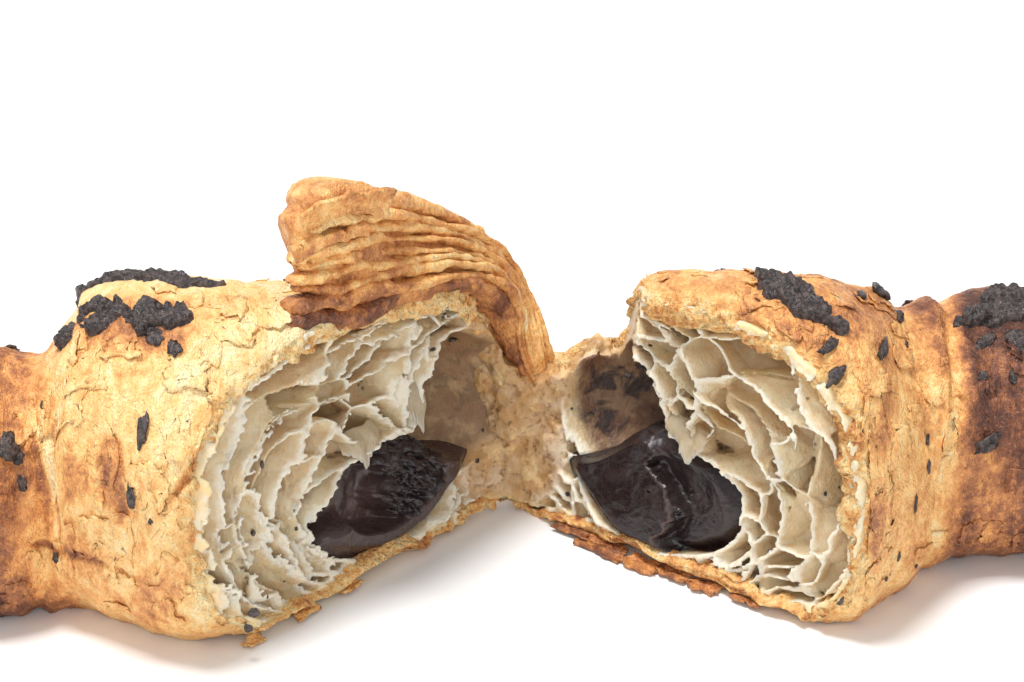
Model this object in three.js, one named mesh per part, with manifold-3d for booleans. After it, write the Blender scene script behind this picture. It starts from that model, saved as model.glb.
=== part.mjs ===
// A chocolate croissant, torn open from the front and still held together by its back crust.
// Millimetres, +Z up. X runs along the croissant, and the torn faces open towards -Y.
// The body is one solid of dough: a rolled, stepped crescent with a flat underside, opened by a
// V-shaped tear. Each torn face has a tunnel with the chocolate filling in it and a hollow above.
// A flap of torn crust layers stands on the rim beside the tear. Patches of baked chocolate sit
// on the crust. The group's origin is the centre of the bounding box's bottom.
import * as THREE from "three";
import { mergeVertices } from "three/addons/utils/BufferGeometryUtils.js";
import Module from "manifold-3d";

// ---- driving dimensions, in mm, measured from the hinge of the tear ----

const ORIGIN = { x: 2.5, y: -18.4 }; // the bounding box's middle in plan, which becomes the origin

// One row per station along the roll: its place, the section's radius and its middle in plan.
// The radius drops at the edge of each wrap of dough, and the tips bend towards the front.
const STATIONS = [
  { x: -95, radius: 0, y: -30 },
  { x: -92, radius: 6.5, y: -29.5 },
  { x: -86, radius: 9.5, y: -27.5 },
  { x: -81, radius: 11.4, y: -26.5 },
  { x: -76, radius: 16, y: -25 },
  { x: -69, radius: 18, y: -23.5 },
  { x: -62, radius: 17.4, y: -20.5 },
  { x: -57, radius: 21, y: -21 },
  { x: -50, radius: 23.2, y: -23.8 },
  { x: -41, radius: 24, y: -26.7 },
  { x: -26, radius: 23.6, y: -25 },
  { x: -12, radius: 23, y: -19.5 },
  { x: 2, radius: 22.6, y: -15.5 },
  { x: 18, radius: 22.6, y: -18.5 },
  { x: 34, radius: 23.6, y: -23 },
  { x: 46, radius: 23.2, y: -21.3 },
  { x: 52, radius: 21.4, y: -15 },
  { x: 58, radius: 18.4, y: -9.5 },
  { x: 66, radius: 18.3, y: -6 },
  { x: 76, radius: 18.4, y: -5 },
  { x: 83, radius: 15.6, y: -6.5 },
  { x: 88, radius: 11.6, y: -8.5 },
  { x: 94, radius: 9.6, y: -11.5 },
  { x: 98, radius: 5.5, y: -13 },
  { x: 100, radius: 0, y: -14 },
];
const WIDTH_PER_HEIGHT = 0.96;
const TOP_POWER = 2.2; // above 2, a section is squarer than an ellipse
const BOTTOM_POWER = 2.5;
const SINK = 0.13; // share of the radius by which the underside is flattened
const WRAP_SLANT = 3; // how far a wrap's edge leans along X from its lowest to its highest point
const TIP_RISE = { beyond: 68, height: 7 }; // the tips lift off the table past this distance
const LONGEST = 98; // half the roll's length, nearly

// The tear: two upright planes that meet in the hinge, at these plan angles from +X.
const TEAR = { left: -129, right: -42, reach: 110, hinge: { x: -1, y: -0.5 } };
// The torn top edge of the back wall at the hinge, as X, Z points, open upwards.
const BACK_WALL_TOP = [
  [-9, 44], [-5, 33], [-1, 24], [3, 20.5], [8, 23], [12.5, 26.5], [15.5, 25.5], [17, 30], [18.5, 48],
];
// The back wall is torn off the table in this place.
const BACK_WALL_FOOT = { x: -5, z: -1, halfWidth: 5.5, height: 5 };

// Each torn face carries a tunnel that holds the filling. p is the distance from the hinge along
// the face, q the height. The run is the plan angle that the tunnel follows into the roll.
const TUNNEL = { q: 10.9, halfHigh: 8.6, length: 46, endShare: 0.72 };
const HALVES = {
  left: { p: 24.5, run: 184, halfWide: 12, hollow: { p: 8.5, q: 19.5, wide: 7.5, high: 10.5, deep: 15 } },
  right: { p: 26.5, run: 20, halfWide: 13.2, hollow: { p: 18, q: 20.5, wide: 7.8, high: 9.5, deep: 15 } },
};
const FILLING = { top: 18.3, gap: 0.35, lumps: 0.08, recess: 0.8 };

// The flap of torn crust layers that stands on the left half's rim, as a slab that sweeps up from
// the hinge: place of its middle, half its height, half its thickness, and its lean from upright.
const FLAP = [
  { at: [3.2, 1.5, 20], half: 3, thick: 2.2, lean: 55 },
  { at: [0, 2, 30], half: 3.6, thick: 2.6, lean: 45 },
  { at: [-3.8, -0.5, 37], half: 4.4, thick: 3, lean: 34 },
  { at: [-9, -6, 42.2], half: 5.2, thick: 3.4, lean: 24 },
  { at: [-15.6, -13, 45.6], half: 7.4, thick: 4, lean: 16 },
  { at: [-21.8, -20.5, 48.3], half: 9, thick: 4.6, lean: 12 },
  { at: [-26, -24.5, 49], half: 9.4, thick: 4.6, lean: 12 },
  { at: [-28.8, -26.5, 48.4], half: 7.5, thick: 3.4, lean: 12 },
];

// Chocolate patches baked onto the crust: centre along X, centre and half extent around the
// section in degrees from level front (0) to top (90), half length along X, and slant.
const PATCHES = [
  { name: "patch_left_high", x: -49, around: 108, halfX: 10, halfAround: 8, slant: -0.35 },
  { name: "patch_left_low", x: -51, around: 77, halfX: 8.5, halfAround: 9.5, slant: -0.5 },
  { name: "patch_right_rim", x: 38.5, around: 83, halfX: 5.5, halfAround: 12.5, slant: 1.2 },
  { name: "patch_right_end", x: 71.5, around: 87, halfX: 8.5, halfAround: 14, slant: 0.2 },
];
const PATCH = { gap: 0.3, thick: 1.4, steps: 10, sides: 16, wobble: 0.22 };

const RINGS = 66; // sections along the roll
const SIDES = 36; // points around a section

// ---- the shape of the roll ----

const radians = THREE.MathUtils.degToRad;

/** A smooth curve through the stations: the value of one of their fields at x. */
function along(field, x) {
  const last = STATIONS.length - 1;
  if (x <= STATIONS[0].x) return STATIONS[0][field];
  if (x >= STATIONS[last].x) return STATIONS[last][field];
  const i = STATIONS.findIndex((s) => s.x > x) - 1;
  const slope = (k) => {
    const a = STATIONS[Math.max(k - 1, 0)];
    const b = STATIONS[Math.min(k + 1, last)];
    return (b[field] - a[field]) / (b.x - a.x);
  };
  const from = STATIONS[i];
  const to = STATIONS[i + 1];
  const step = to.x - from.x;
  const t = (x - from.x) / step;
  const stretch = t * t * (3 - 2 * t);
  return (
    from[field] * (1 - stretch) +
    to[field] * stretch +
    step * (slope(i) * t * (1 - t) ** 2 - slope(i + 1) * t * t * (1 - t))
  );
}

/** How far the underside is off the table. */
function lift(x) {
  const { beyond, height } = TIP_RISE;
  return height * (Math.max(Math.abs(x) - beyond, 0) / (LONGEST - beyond)) ** 2;
}

/** A point of the crust at x and at an angle around: 0 is level front, 90 is the top. */
function crustPoint(x, around, outwards = 0) {
  const c = Math.cos(around);
  const s = Math.sin(around);
  const first = STATIONS[0].x;
  const last = STATIONS[STATIONS.length - 1].x;
  const near = Math.min(x - first, last - x, 12) / 12;
  const radius = Math.max(along("radius", x + WRAP_SLANT * s * near), 0);
  const power = s > 0 ? TOP_POWER : BOTTOM_POWER;
  const round = (v) => Math.sign(v) * Math.abs(v) ** (2 / power);
  const reach = radius + outwards;
  const middle = lift(x) + radius * (1 - SINK);
  return new THREE.Vector3(
    x,
    along("y", x) - reach * WIDTH_PER_HEIGHT * round(c),
    Math.max(middle + reach * round(s), lift(x)),
  );
}

/** A closed geometry from rings of points that run right-handed about the way to the next ring. */
function closedRows(rows, first, last) {
  const points = [first, ...rows.flat(), last];
  const n = rows[0].length;
  const faces = [];
  const at = (row, k) => 1 + row * n + (k % n);
  for (let k = 0; k < n; k++) {
    faces.push(0, at(0, k + 1), at(0, k));
    for (let row = 0; row + 1 < rows.length; row++) {
      faces.push(at(row, k), at(row, k + 1), at(row + 1, k));
      faces.push(at(row, k + 1), at(row + 1, k + 1), at(row + 1, k));
    }
    faces.push(points.length - 1, at(rows.length - 1, k), at(rows.length - 1, k + 1));
  }
  const geometry = new THREE.BufferGeometry().setFromPoints(points);
  geometry.setIndex(faces);
  return geometry;
}

// ---- solids for cutting and joining ----

const wasm = await Module();
wasm.setup();

function solid(geometry) {
  const bare = geometry.clone();
  bare.deleteAttribute("normal");
  bare.deleteAttribute("uv");
  const merged = mergeVertices(bare, 1e-4);
  const made = new wasm.Manifold(
    new wasm.Mesh({
      numProp: 3,
      vertProperties: new Float32Array(merged.attributes.position.array),
      triVerts: new Uint32Array(merged.index.array),
    }),
  );
  return made;
}

function geometryOf(made) {
  const mesh = made.getMesh();
  const geometry = new THREE.BufferGeometry();
  geometry.setAttribute("position", new THREE.BufferAttribute(mesh.vertProperties, 3));
  geometry.setIndex(new THREE.BufferAttribute(mesh.triVerts, 1));
  geometry.computeVertexNormals();
  return geometry;
}

/** An outline in plan or elevation, extruded by depth, then turned and placed by matrix. */
function prism(points, depth, matrix) {
  const shape = new THREE.Shape(points.map(([a, b]) => new THREE.Vector2(a, b)));
  const geometry = new THREE.ExtrudeGeometry(shape, { depth, bevelEnabled: false });
  geometry.applyMatrix4(matrix);
  return solid(geometry);
}

// ---- the dough ----

function roll() {
  const first = STATIONS[0].x;
  const last = STATIONS[STATIONS.length - 1].x;
  const middle = (first + last) / 2;
  const reach = (last - first) / 2;
  const rows = [];
  for (let i = 1; i < RINGS; i++) {
    const x = middle - reach * Math.cos((Math.PI * i) / RINGS);
    const ring = [];
    for (let k = SIDES; k > 0; k--) ring.push(crustPoint(x, (2 * Math.PI * k) / SIDES));
    rows.push(ring);
  }
  return solid(closedRows(rows, crustPoint(first, 0), crustPoint(last, 0)));
}

/** The wedge of air between the two torn faces. */
function tear() {
  const { x, y } = TEAR.hinge;
  const corner = (angle) => [
    x + TEAR.reach * Math.cos(radians(angle)),
    y + TEAR.reach * Math.sin(radians(angle)),
  ];
  const outline = [[x, y], corner(TEAR.left), corner((TEAR.left + TEAR.right) / 2), corner(TEAR.right)];
  return prism(outline, 90, new THREE.Matrix4().makeTranslation(0, 0, -10));
}

/** What is torn away above the back wall at the hinge, and under its foot. */
function backWallGaps() {
  const upright = new THREE.Matrix4().makeRotationX(Math.PI / 2).setPosition(0, 45, 0);
  const above = prism([...BACK_WALL_TOP, [24, 80], [-14, 80]], 62, upright);
  const foot = new THREE.SphereGeometry(1, 20, 12);
  foot.applyMatrix4(
    new THREE.Matrix4().compose(
      new THREE.Vector3(BACK_WALL_FOOT.x, 4, BACK_WALL_FOOT.z),
      new THREE.Quaternion(),
      new THREE.Vector3(BACK_WALL_FOOT.halfWidth, 16, BACK_WALL_FOOT.height),
    ),
  );
  return above.add(solid(foot));
}

/** A rounded bar along a tunnel's run, from a distance before or after the torn face to its end. */
function tunnelBar(side, { shrink, from, top, lumps }) {
  const half = HALVES[side];
  const face = radians(TEAR[side]);
  const run = radians(half.run);
  const start = new THREE.Vector3(
    TEAR.hinge.x + half.p * Math.cos(face),
    TEAR.hinge.y + half.p * Math.sin(face),
    TUNNEL.q,
  );
  const into = new THREE.Vector3(Math.cos(run), Math.sin(run), 0);
  const across = new THREE.Vector3(-Math.sin(run), Math.cos(run), 0);
  const end = TUNNEL.length - 2 * shrink;
  const rows = [];
  const steps = 12;
  const sides = 20;
  for (let i = 0; i <= steps; i++) {
    const distance = from + (end - from) * Math.sin((Math.PI / 2) * (i / steps));
    const share = Math.max(distance / end, 0);
    const rounding = Math.sqrt(Math.max(1 - (Math.max(share - 0.6, 0) / 0.41) ** 2, 0));
    const size = (1 - (1 - TUNNEL.endShare) * share) * rounding;
    const ring = [];
    for (let k = 0; k < sides; k++) {
      const turn = (2 * Math.PI * k) / sides;
      const wave = 0.5 + 0.5 * Math.sin(3 * turn + 9 * share) * Math.cos(2 * turn - 7 * share);
      const lump = 1 - lumps * wave;
      const wide = (half.halfWide * size - shrink) * lump * Math.cos(turn);
      const high = (TUNNEL.halfHigh * size - shrink) * lump * Math.sin(turn);
      const point = start.clone().addScaledVector(into, distance).addScaledVector(across, wide);
      point.z += Math.min(high, top - TUNNEL.q);
      ring.push(point);
    }
    rows.push(ring);
  }
  const middle = (ring) =>
    ring.reduce((sum, point) => sum.add(point), new THREE.Vector3()).divideScalar(ring.length);
  return solid(closedRows(rows, middle(rows[0]), middle(rows[steps])));
}

/** The hollow above the filling, beside the hinge. */
function hollow(side) {
  const { p, q, wide, high, deep } = HALVES[side].hollow;
  const face = radians(TEAR[side]);
  const geometry = new THREE.SphereGeometry(1, 22, 12);
  geometry.applyMatrix4(
    new THREE.Matrix4().compose(
      new THREE.Vector3(TEAR.hinge.x + p * Math.cos(face), TEAR.hinge.y + p * Math.sin(face), q),
      new THREE.Quaternion().setFromAxisAngle(new THREE.Vector3(0, 0, 1), radians(HALVES[side].run)),
      new THREE.Vector3(deep, wide, high),
    ),
  );
  return solid(geometry);
}

/** The flap of crust layers: a slab with rounded edges, swept along its named stations. */
function flap() {
  const path = new THREE.CatmullRomCurve3(FLAP.map((station) => new THREE.Vector3(...station.at)));
  const steps = 24;
  const sides = 14;
  const rows = [];
  for (let i = 0; i <= steps; i++) {
    const share = i / steps;
    const place = share * (FLAP.length - 1);
    const k = Math.min(Math.floor(place), FLAP.length - 2);
    const t = place - k;
    const mix = (field) => FLAP[k][field] * (1 - t) + FLAP[k + 1][field] * t;
    const middle = path.getPoint(share);
    const forward = path.getTangent(share);
    const level = new THREE.Vector3(0, 0, 1).cross(forward).normalize();
    const up = forward.clone().cross(level).normalize();
    const lean = radians(mix("lean"));
    const high = up.clone().multiplyScalar(Math.cos(lean)).addScaledVector(level, -Math.sin(lean));
    const wide = high.clone().cross(forward).normalize();
    const ring = [];
    for (let j = 0; j < sides; j++) {
      const turn = (2 * Math.PI * j) / sides;
      const point = middle.clone();
      point.addScaledVector(high, mix("half") * Math.sin(turn));
      point.addScaledVector(wide, mix("thick") * Math.cos(turn));
      ring.push(point);
    }
    rows.push(ring);
  }
  return solid(closedRows(rows, path.getPoint(0), path.getPoint(1)));
}

// ---- the filling and the chocolate patches ----

/** The bar of filling in one half, cut off along the torn face and set back a little from it. */
function filling(side) {
  const { gap, recess, top, lumps } = FILLING;
  const bar = tunnelBar(side, { shrink: gap, from: -12, top, lumps });
  const into = radians(side === "left" ? TEAR.left - 90 : TEAR.right + 90);
  return bar.subtract(tear().translate(recess * Math.cos(into), recess * Math.sin(into), 0));
}

/** A patch of chocolate that follows the crust, a little proud of it. */
function patch({ x, around, halfX, halfAround, slant }) {
  const { steps, sides, gap, thick, wobble } = PATCH;
  const shell = (u, v, out) => {
    const place = x + halfX * u + slant * halfAround * v * 0.2;
    return crustPoint(place, radians(around + halfAround * v), out);
  };
  const rim = (turn) => 1 - wobble * (0.5 + 0.5 * Math.sin(3 * turn + x) * Math.cos(2 * turn));
  const rows = [];
  for (let i = 1; i < steps; i++) {
    // from the middle underneath, out to the rim and back to the middle on top
    const tilt = (Math.PI * i) / steps;
    const out = gap + thick * Math.max(-Math.cos(tilt), 0);
    const ring = [];
    for (let k = 0; k < sides; k++) {
      const turn = (2 * Math.PI * k) / sides;
      const reach = Math.sin(tilt) * rim(turn);
      ring.push(shell(reach * Math.cos(turn), reach * Math.sin(turn), out));
    }
    rows.push(ring);
  }
  return closedRows(rows, shell(0, 0, gap), shell(0, 0, gap + thick));
}

// ---- the group ----

const crust = new THREE.MeshStandardMaterial({ color: 0xc98a4b, roughness: 0.55, metalness: 0 });
const darkFilling = new THREE.MeshStandardMaterial({ color: 0x2a1b17, roughness: 0.35, metalness: 0 });
const bakedChocolate = new THREE.MeshStandardMaterial({ color: 0x2b2422, roughness: 0.6, metalness: 0 });

const croissant = new THREE.Group();
croissant.position.set(-ORIGIN.x, -ORIGIN.y, 0);

function addMesh(name, geometry, material) {
  const mesh = new THREE.Mesh(geometry, material);
  mesh.name = name;
  croissant.add(mesh);
}

let dough = roll().subtract(backWallGaps()).add(flap()).subtract(tear());
for (const side of ["left", "right"]) {
  const tunnel = tunnelBar(side, { shrink: 0, from: -14, top: 40, lumps: 0 });
  dough = dough.subtract(tunnel).subtract(hollow(side));
}
addMesh("dough", geometryOf(dough), crust);
for (const side of ["left", "right"]) addMesh(`filling_${side}`, geometryOf(filling(side)), darkFilling);
for (const place of PATCHES) addMesh(place.name, patch(place), bakedChocolate);

export default croissant;
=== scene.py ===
"""The looks of a chocolate croissant, torn open from the front and held together by its back crust.

Lengths are in millimetres, measured from the hinge of the tear as in the solid model, until a
mesh is made: then they move to the row's origin, in metres.
"""

import math

import bpy
import numpy as np
import openvdb
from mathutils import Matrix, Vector


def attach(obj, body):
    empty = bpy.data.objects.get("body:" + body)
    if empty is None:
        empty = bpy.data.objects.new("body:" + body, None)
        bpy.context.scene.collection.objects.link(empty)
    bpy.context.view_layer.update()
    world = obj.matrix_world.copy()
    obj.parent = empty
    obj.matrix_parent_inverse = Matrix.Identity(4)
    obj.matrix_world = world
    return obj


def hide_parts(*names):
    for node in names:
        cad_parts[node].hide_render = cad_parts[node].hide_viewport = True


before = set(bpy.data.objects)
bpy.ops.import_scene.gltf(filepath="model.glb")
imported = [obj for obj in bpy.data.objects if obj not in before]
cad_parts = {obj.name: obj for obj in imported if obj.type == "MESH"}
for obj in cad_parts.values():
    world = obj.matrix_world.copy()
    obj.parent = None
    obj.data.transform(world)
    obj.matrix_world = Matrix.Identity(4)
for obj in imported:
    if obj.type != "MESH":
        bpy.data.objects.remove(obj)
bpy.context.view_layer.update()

# ---- sizes shared with the solid model ----

ORIGIN = np.array([2.5, -18.4, 0.0])  # the row's origin, from the hinge

# place along the roll, the section's radius, and its middle in plan
STATIONS = np.array([
    [-95, 0, -30], [-92, 6.5, -29.5], [-86, 9.5, -27.5], [-81, 11.4, -26.5], [-76, 16, -25],
    [-69, 18, -23.5], [-62, 17.4, -20.5], [-57, 21, -21], [-50, 23.2, -23.8], [-41, 24, -26.7],
    [-26, 23.6, -25], [-12, 23, -19.5], [2, 22.6, -15.5], [18, 22.6, -18.5], [34, 23.6, -23],
    [46, 23.2, -21.3], [52, 21.4, -15], [58, 18.4, -9.5], [66, 18.3, -6], [76, 18.4, -5],
    [83, 15.6, -6.5], [88, 11.6, -8.5], [94, 9.6, -11.5], [98, 5.5, -13], [100, 0, -14],
])
WIDTH_PER_HEIGHT = 0.96
TOP_POWER = 2.2
BOTTOM_POWER = 2.5
SINK = 0.13
WRAP_SLANT = 3.0
SLANT_FADES_WITHIN = 12.0  # of the tips
TIP_RISE_BEYOND = 68.0
TIP_RISE = 7.0
LONGEST = 98.0

HINGE = np.array([-1.0, -0.5])
TEAR_MIDDLE = 3.0  # where the halves meet, along X
NO_LIMIT = 99.0
USUAL_RADIUS = 21.0  # turns an angle around the roll into a length
# the torn top edge of the back wall: its X and Z
BACK_WALL_TOP = np.array([
    [-9, 44], [-5, 33], [-1, 24], [3, 20.5], [8, 23], [12.5, 26.5], [15.5, 25.5], [17, 30], [18.5, 48],
])


class Face:
    """A torn face: p runs out along it from the hinge, q is the height, d the depth behind it."""

    def __init__(self, side, angle, into, run):
        self.side = side
        self.out = np.array([math.cos(math.radians(angle)), math.sin(math.radians(angle))])
        self.into = np.array([math.cos(math.radians(into)), math.sin(math.radians(into))])
        along = np.array([math.cos(math.radians(run)), math.sin(math.radians(run))])
        # how far the roll's run moves out along the face for each millimetre of depth
        self.shear = float(self.out @ along / (self.into @ along))

    def place(self, p, q, d):
        """Points in the hinge's frame."""
        xy = HINGE + p[..., None] * self.out + d[..., None] * self.into
        return np.concatenate([xy, q[..., None]], -1)

    def depth(self, points):
        return (points[..., :2] - HINGE) @ self.into

    def reach(self, points):
        return (points[..., :2] - HINGE) @ self.out


LEFT = Face("left", -129, 141, 184)
RIGHT = Face("right", -42, 48, 20)
RANDOM = np.random.default_rng(7)
TABLE = RANDOM.random(65536).astype(np.float32)


# ---- noise ----

def hashed(i, j, k, seed):
    """A number from 0 to 65535 for each lattice place."""
    h = (i * 73856093) ^ (j * 19349663) ^ (k * 83492791) ^ (seed * 7919 + 12345)
    h = (h ^ (h >> 13)) * 1274126177
    return (h ^ (h >> 16)) & 65535


def noise(points, scale=1.0, seed=0):
    """Smooth noise from -1 to 1, with about one bump per scale."""
    points = np.asarray(points)
    total = np.zeros(points.shape[:-1], np.float32)
    parts = []
    for n in range(3):
        p = (points[..., n] / scale).astype(np.float32)
        cell = np.floor(p)
        f = p - cell
        f = f * f * f * (f * (f * 6 - 15) + 10)
        cell = cell.astype(np.int32)
        parts.append(((cell, 1 - f), (cell + 1, f)))
    with np.errstate(over="ignore"):
        for i, u in parts[0]:
            for j, v in parts[1]:
                uv = u * v
                for k, w in parts[2]:
                    total += TABLE[hashed(i, j, k, seed)] * (uv * w)
    return total * 2 - 1


# turns the lattice of one octave of noise against the next
TURN = np.array([[0.0, 0.8, 0.6], [-0.8, 0.36, -0.48], [-0.6, -0.48, 0.64]], np.float32)


def layered(points, scale, octaves=3, seed=0, gain=0.5):
    """Noise with finer and finer detail, from about -1 to 1."""
    total = 0
    size = 1.0
    reach = 0
    points = np.asarray(points)
    for n in range(octaves):
        points = points @ TURN
        total = total + size * noise(points, scale / 2.03**n, seed + n)
        reach += size
        size *= gain
    return total / reach * 1.4


def full_turn(count):
    """Angles around a full turn."""
    return np.linspace(0, 2 * np.pi, count, endpoint=False)


def smooth(low, high, value):
    t = np.clip((value - low) / (high - low), 0, 1)
    return t * t * (3 - 2 * t)


# ---- the roll's outside ----

def smooth_through(xs, ys, x):
    """A smooth curve through the values ys at xs."""
    slopes = np.empty(len(xs))
    slopes[1:-1] = (ys[2:] - ys[:-2]) / (xs[2:] - xs[:-2])
    slopes[0] = (ys[1] - ys[0]) / (xs[1] - xs[0])
    slopes[-1] = (ys[-1] - ys[-2]) / (xs[-1] - xs[-2])
    x = np.clip(x, xs[0], xs[-1])
    i = np.clip(np.searchsorted(xs, x, side="right") - 1, 0, len(xs) - 2)
    step = xs[i + 1] - xs[i]
    t = (x - xs[i]) / step
    s = t * t * (3 - 2 * t)
    bend = slopes[i] * t * (1 - t) ** 2 - slopes[i + 1] * t * t * (1 - t)
    return ys[i] * (1 - s) + ys[i + 1] * s + step * bend


def path(rows, t):
    """A smooth curve through rows of numbers, at places t from 0 to the number of the last row."""
    rows = np.asarray(rows, float)
    numbers = np.arange(len(rows), dtype=float)
    return np.stack([smooth_through(numbers, column, t) for column in rows.T], -1)


def along(column, x):
    """A column of the stations, at places x along the roll."""
    return smooth_through(STATIONS[:, 0], STATIONS[:, column], x)


def lift(x):
    return TIP_RISE * (np.maximum(np.abs(x) - TIP_RISE_BEYOND, 0) / (LONGEST - TIP_RISE_BEYOND)) ** 2


def crust_point(x, around):
    """A point of the crust: around is 0 level in front, and a quarter turn on top."""
    c = np.cos(around)
    s = np.sin(around)
    to_tip = np.minimum(x - STATIONS[0, 0], STATIONS[-1, 0] - x)
    near = np.minimum(to_tip / SLANT_FADES_WITHIN, 1)
    radius = np.maximum(along(1, x + WRAP_SLANT * s * near), 0)
    power = np.where(s > 0, TOP_POWER, BOTTOM_POWER)
    across = np.sign(c) * np.abs(c) ** (2 / power)
    up = np.sign(s) * np.abs(s) ** (2 / power)
    base = lift(x)
    middle = base + radius * (1 - SINK)
    y = along(2, x) - radius * WIDTH_PER_HEIGHT * across
    return np.stack([x + 0 * y, y, np.maximum(middle + radius * up, base)], -1)


def crust_normal(x, around):
    """Unit normals of the smooth crust, outwards."""
    forward = crust_point(x + 0.4, around) - crust_point(x - 0.4, around)
    round_it = crust_point(x, around + 0.02) - crust_point(x, around - 0.02)
    n = np.cross(forward, round_it)
    return n / np.maximum(np.linalg.norm(n, axis=-1, keepdims=True), 1e-9)


def body_distance(points):
    """The distance inwards from the roll's outside, roughly, and negative beyond it."""
    x, y, z = points[..., 0], points[..., 1], points[..., 2]
    base = lift(x)
    up = (z - base) / np.maximum(along(1, x), 1) - (1 - SINK)
    radius = np.maximum(along(1, x + WRAP_SLANT * np.clip(up, -1, 1)), 1)
    up = (z - base) / radius - (1 - SINK)
    across = np.abs(y - along(2, x)) / (radius * WIDTH_PER_HEIGHT)
    power = np.where(up > 0, TOP_POWER, BOTTOM_POWER)
    norm = (np.abs(up) ** power + across**power) ** (1 / power)
    return np.minimum(radius * (1 - norm), z - base)


def wall_top(x):
    """How high the back wall stands at x: beyond the tear it has no limit."""
    z = np.interp(x, BACK_WALL_TOP[:, 0], BACK_WALL_TOP[:, 1])
    return np.where((x < BACK_WALL_TOP[0, 0]) | (x > BACK_WALL_TOP[-1, 0]), NO_LIMIT, z)


# ---- meshes ----

def triangle_count(faces):
    return sum(len(f) * (f.shape[1] - 2) for f in faces)


def raw_mesh(name, points, faces):
    """A mesh of points and a list of arrays of faces."""
    mesh = bpy.data.meshes.new(name)
    corners = [np.asarray(f, np.int32) for f in faces if len(f)]
    mesh.vertices.add(len(points))
    mesh.vertices.foreach_set("co", points.astype(np.float32).ravel())
    mesh.loops.add(sum(f.size for f in corners))
    mesh.loops.foreach_set("vertex_index", np.concatenate([f.ravel() for f in corners]))
    sizes = np.concatenate([np.full(len(f), f.shape[1], np.int32) for f in corners])
    mesh.polygons.add(len(sizes))
    mesh.polygons.foreach_set("loop_start", np.concatenate([[0], np.cumsum(sizes)[:-1]]).astype(np.int32))
    mesh.polygons.foreach_set("use_smooth", np.ones(len(sizes), bool))
    mesh.update(calc_edges=True)
    return mesh


def mesh_object(name, points, faces, material, values=None, replaces=()):
    """A shown piece from points in millimetres; values holds, under each name, a number for each point."""
    mesh = raw_mesh(name, (points.reshape(-1, 3) - ORIGIN) / 1000, faces)
    for key, numbers in (values or {}).items():
        attribute = mesh.attributes.new(key, "FLOAT", "POINT")
        attribute.data.foreach_set("value", numbers.astype(np.float32).ravel())
    mesh.materials.append(materials[material])
    obj = bpy.data.objects.new(name, mesh)
    bpy.context.scene.collection.objects.link(obj)
    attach(obj, "root")
    if replaces:
        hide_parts(*replaces)
    print(name, len(mesh.vertices), "points", triangle_count(faces), "triangles", flush=True)


def decimated(points, faces, target):
    """The points and triangles of the same surface with about the target number of triangles."""
    full = bpy.data.objects.new("full", raw_mesh("full", points, faces))
    bpy.context.scene.collection.objects.link(full)
    modifier = full.modifiers.new("fewer", "DECIMATE")
    modifier.ratio = min(target / triangle_count(faces), 1.0)
    fewer = full.evaluated_get(bpy.context.evaluated_depsgraph_get()).to_mesh()
    fewer.calc_loop_triangles()
    thin = np.empty(len(fewer.vertices) * 3, np.float32)
    fewer.vertices.foreach_get("co", thin)
    triangles = np.empty(len(fewer.loop_triangles) * 3, np.int32)
    fewer.loop_triangles.foreach_get("vertices", triangles)
    mesh = full.data
    bpy.data.objects.remove(full)
    bpy.data.meshes.remove(mesh)
    return thin.reshape(-1, 3), [triangles.reshape(-1, 3)]


def grid_faces(rows, columns, wrap=False, flip=False):
    """Quads of a grid of points, whose last column meets the first if wrap is true."""
    i, j = np.meshgrid(np.arange(rows - 1), np.arange(columns if wrap else columns - 1), indexing="ij")
    k = (j + 1) % columns
    quads = np.stack([i * columns + j, i * columns + k, (i + 1) * columns + k, (i + 1) * columns + j], -1)
    quads = quads.reshape(-1, 4)
    return quads[:, ::-1] if flip else quads


def grid_normals(points):
    """Unit normals of a grid of points."""
    n = np.cross(np.gradient(points, axis=0), np.gradient(points, axis=1))
    return n / np.maximum(np.linalg.norm(n, axis=-1, keepdims=True), 1e-9)


def joined(parts):
    """Many (points, faces, tone) as one."""
    points, faces, tones = [], [], []
    count = 0
    for part_points, part_faces, tone in parts:
        points.append(part_points.reshape(-1, 3))
        faces.append(part_faces + count)
        tones.append(np.broadcast_to(tone, part_points.shape[:-1]).ravel())
        count += len(points[-1])
    return np.concatenate(points), np.concatenate(faces), np.concatenate(tones)


def thick_sheet(grid, thickness):
    """A closed sheet about a grid of points."""
    rows, columns = grid.shape[:2]
    count = rows * columns
    normal = grid_normals(grid) * thickness / 2
    rim = np.concatenate([
        np.arange(columns), columns * np.arange(1, rows) + columns - 1,
        count - 2 - np.arange(columns - 1), columns * np.arange(rows - 2, 0, -1),
    ])
    after = np.roll(rim, -1)
    sides = np.stack([rim, after, after + count, rim + count], -1)
    faces = [grid_faces(rows, columns, flip=True), grid_faces(rows, columns) + count, sides]
    return np.stack([grid + normal, grid - normal]), np.concatenate(faces)


def lump(centre, axes, seed, roughness=0.3, rings=9, sides=14):
    """A lumpy closed ball with the given half axes."""
    tilt = np.linspace(0.02, np.pi - 0.02, rings)[:, None]
    turn = full_turn(sides)[None]
    ball = np.stack([np.sin(tilt) * np.cos(turn), np.sin(tilt) * np.sin(turn), np.cos(tilt) + 0 * turn], -1)
    spot = ball + np.array([seed * 3.7, seed * 1.3, 0])
    ball = ball * (1 + roughness * layered(spot, 0.9, 3, 17))[..., None]
    return centre + ball @ np.asarray(axes), grid_faces(rings, sides, True, flip=True)


# ---- the torn faces' outlines ----

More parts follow.
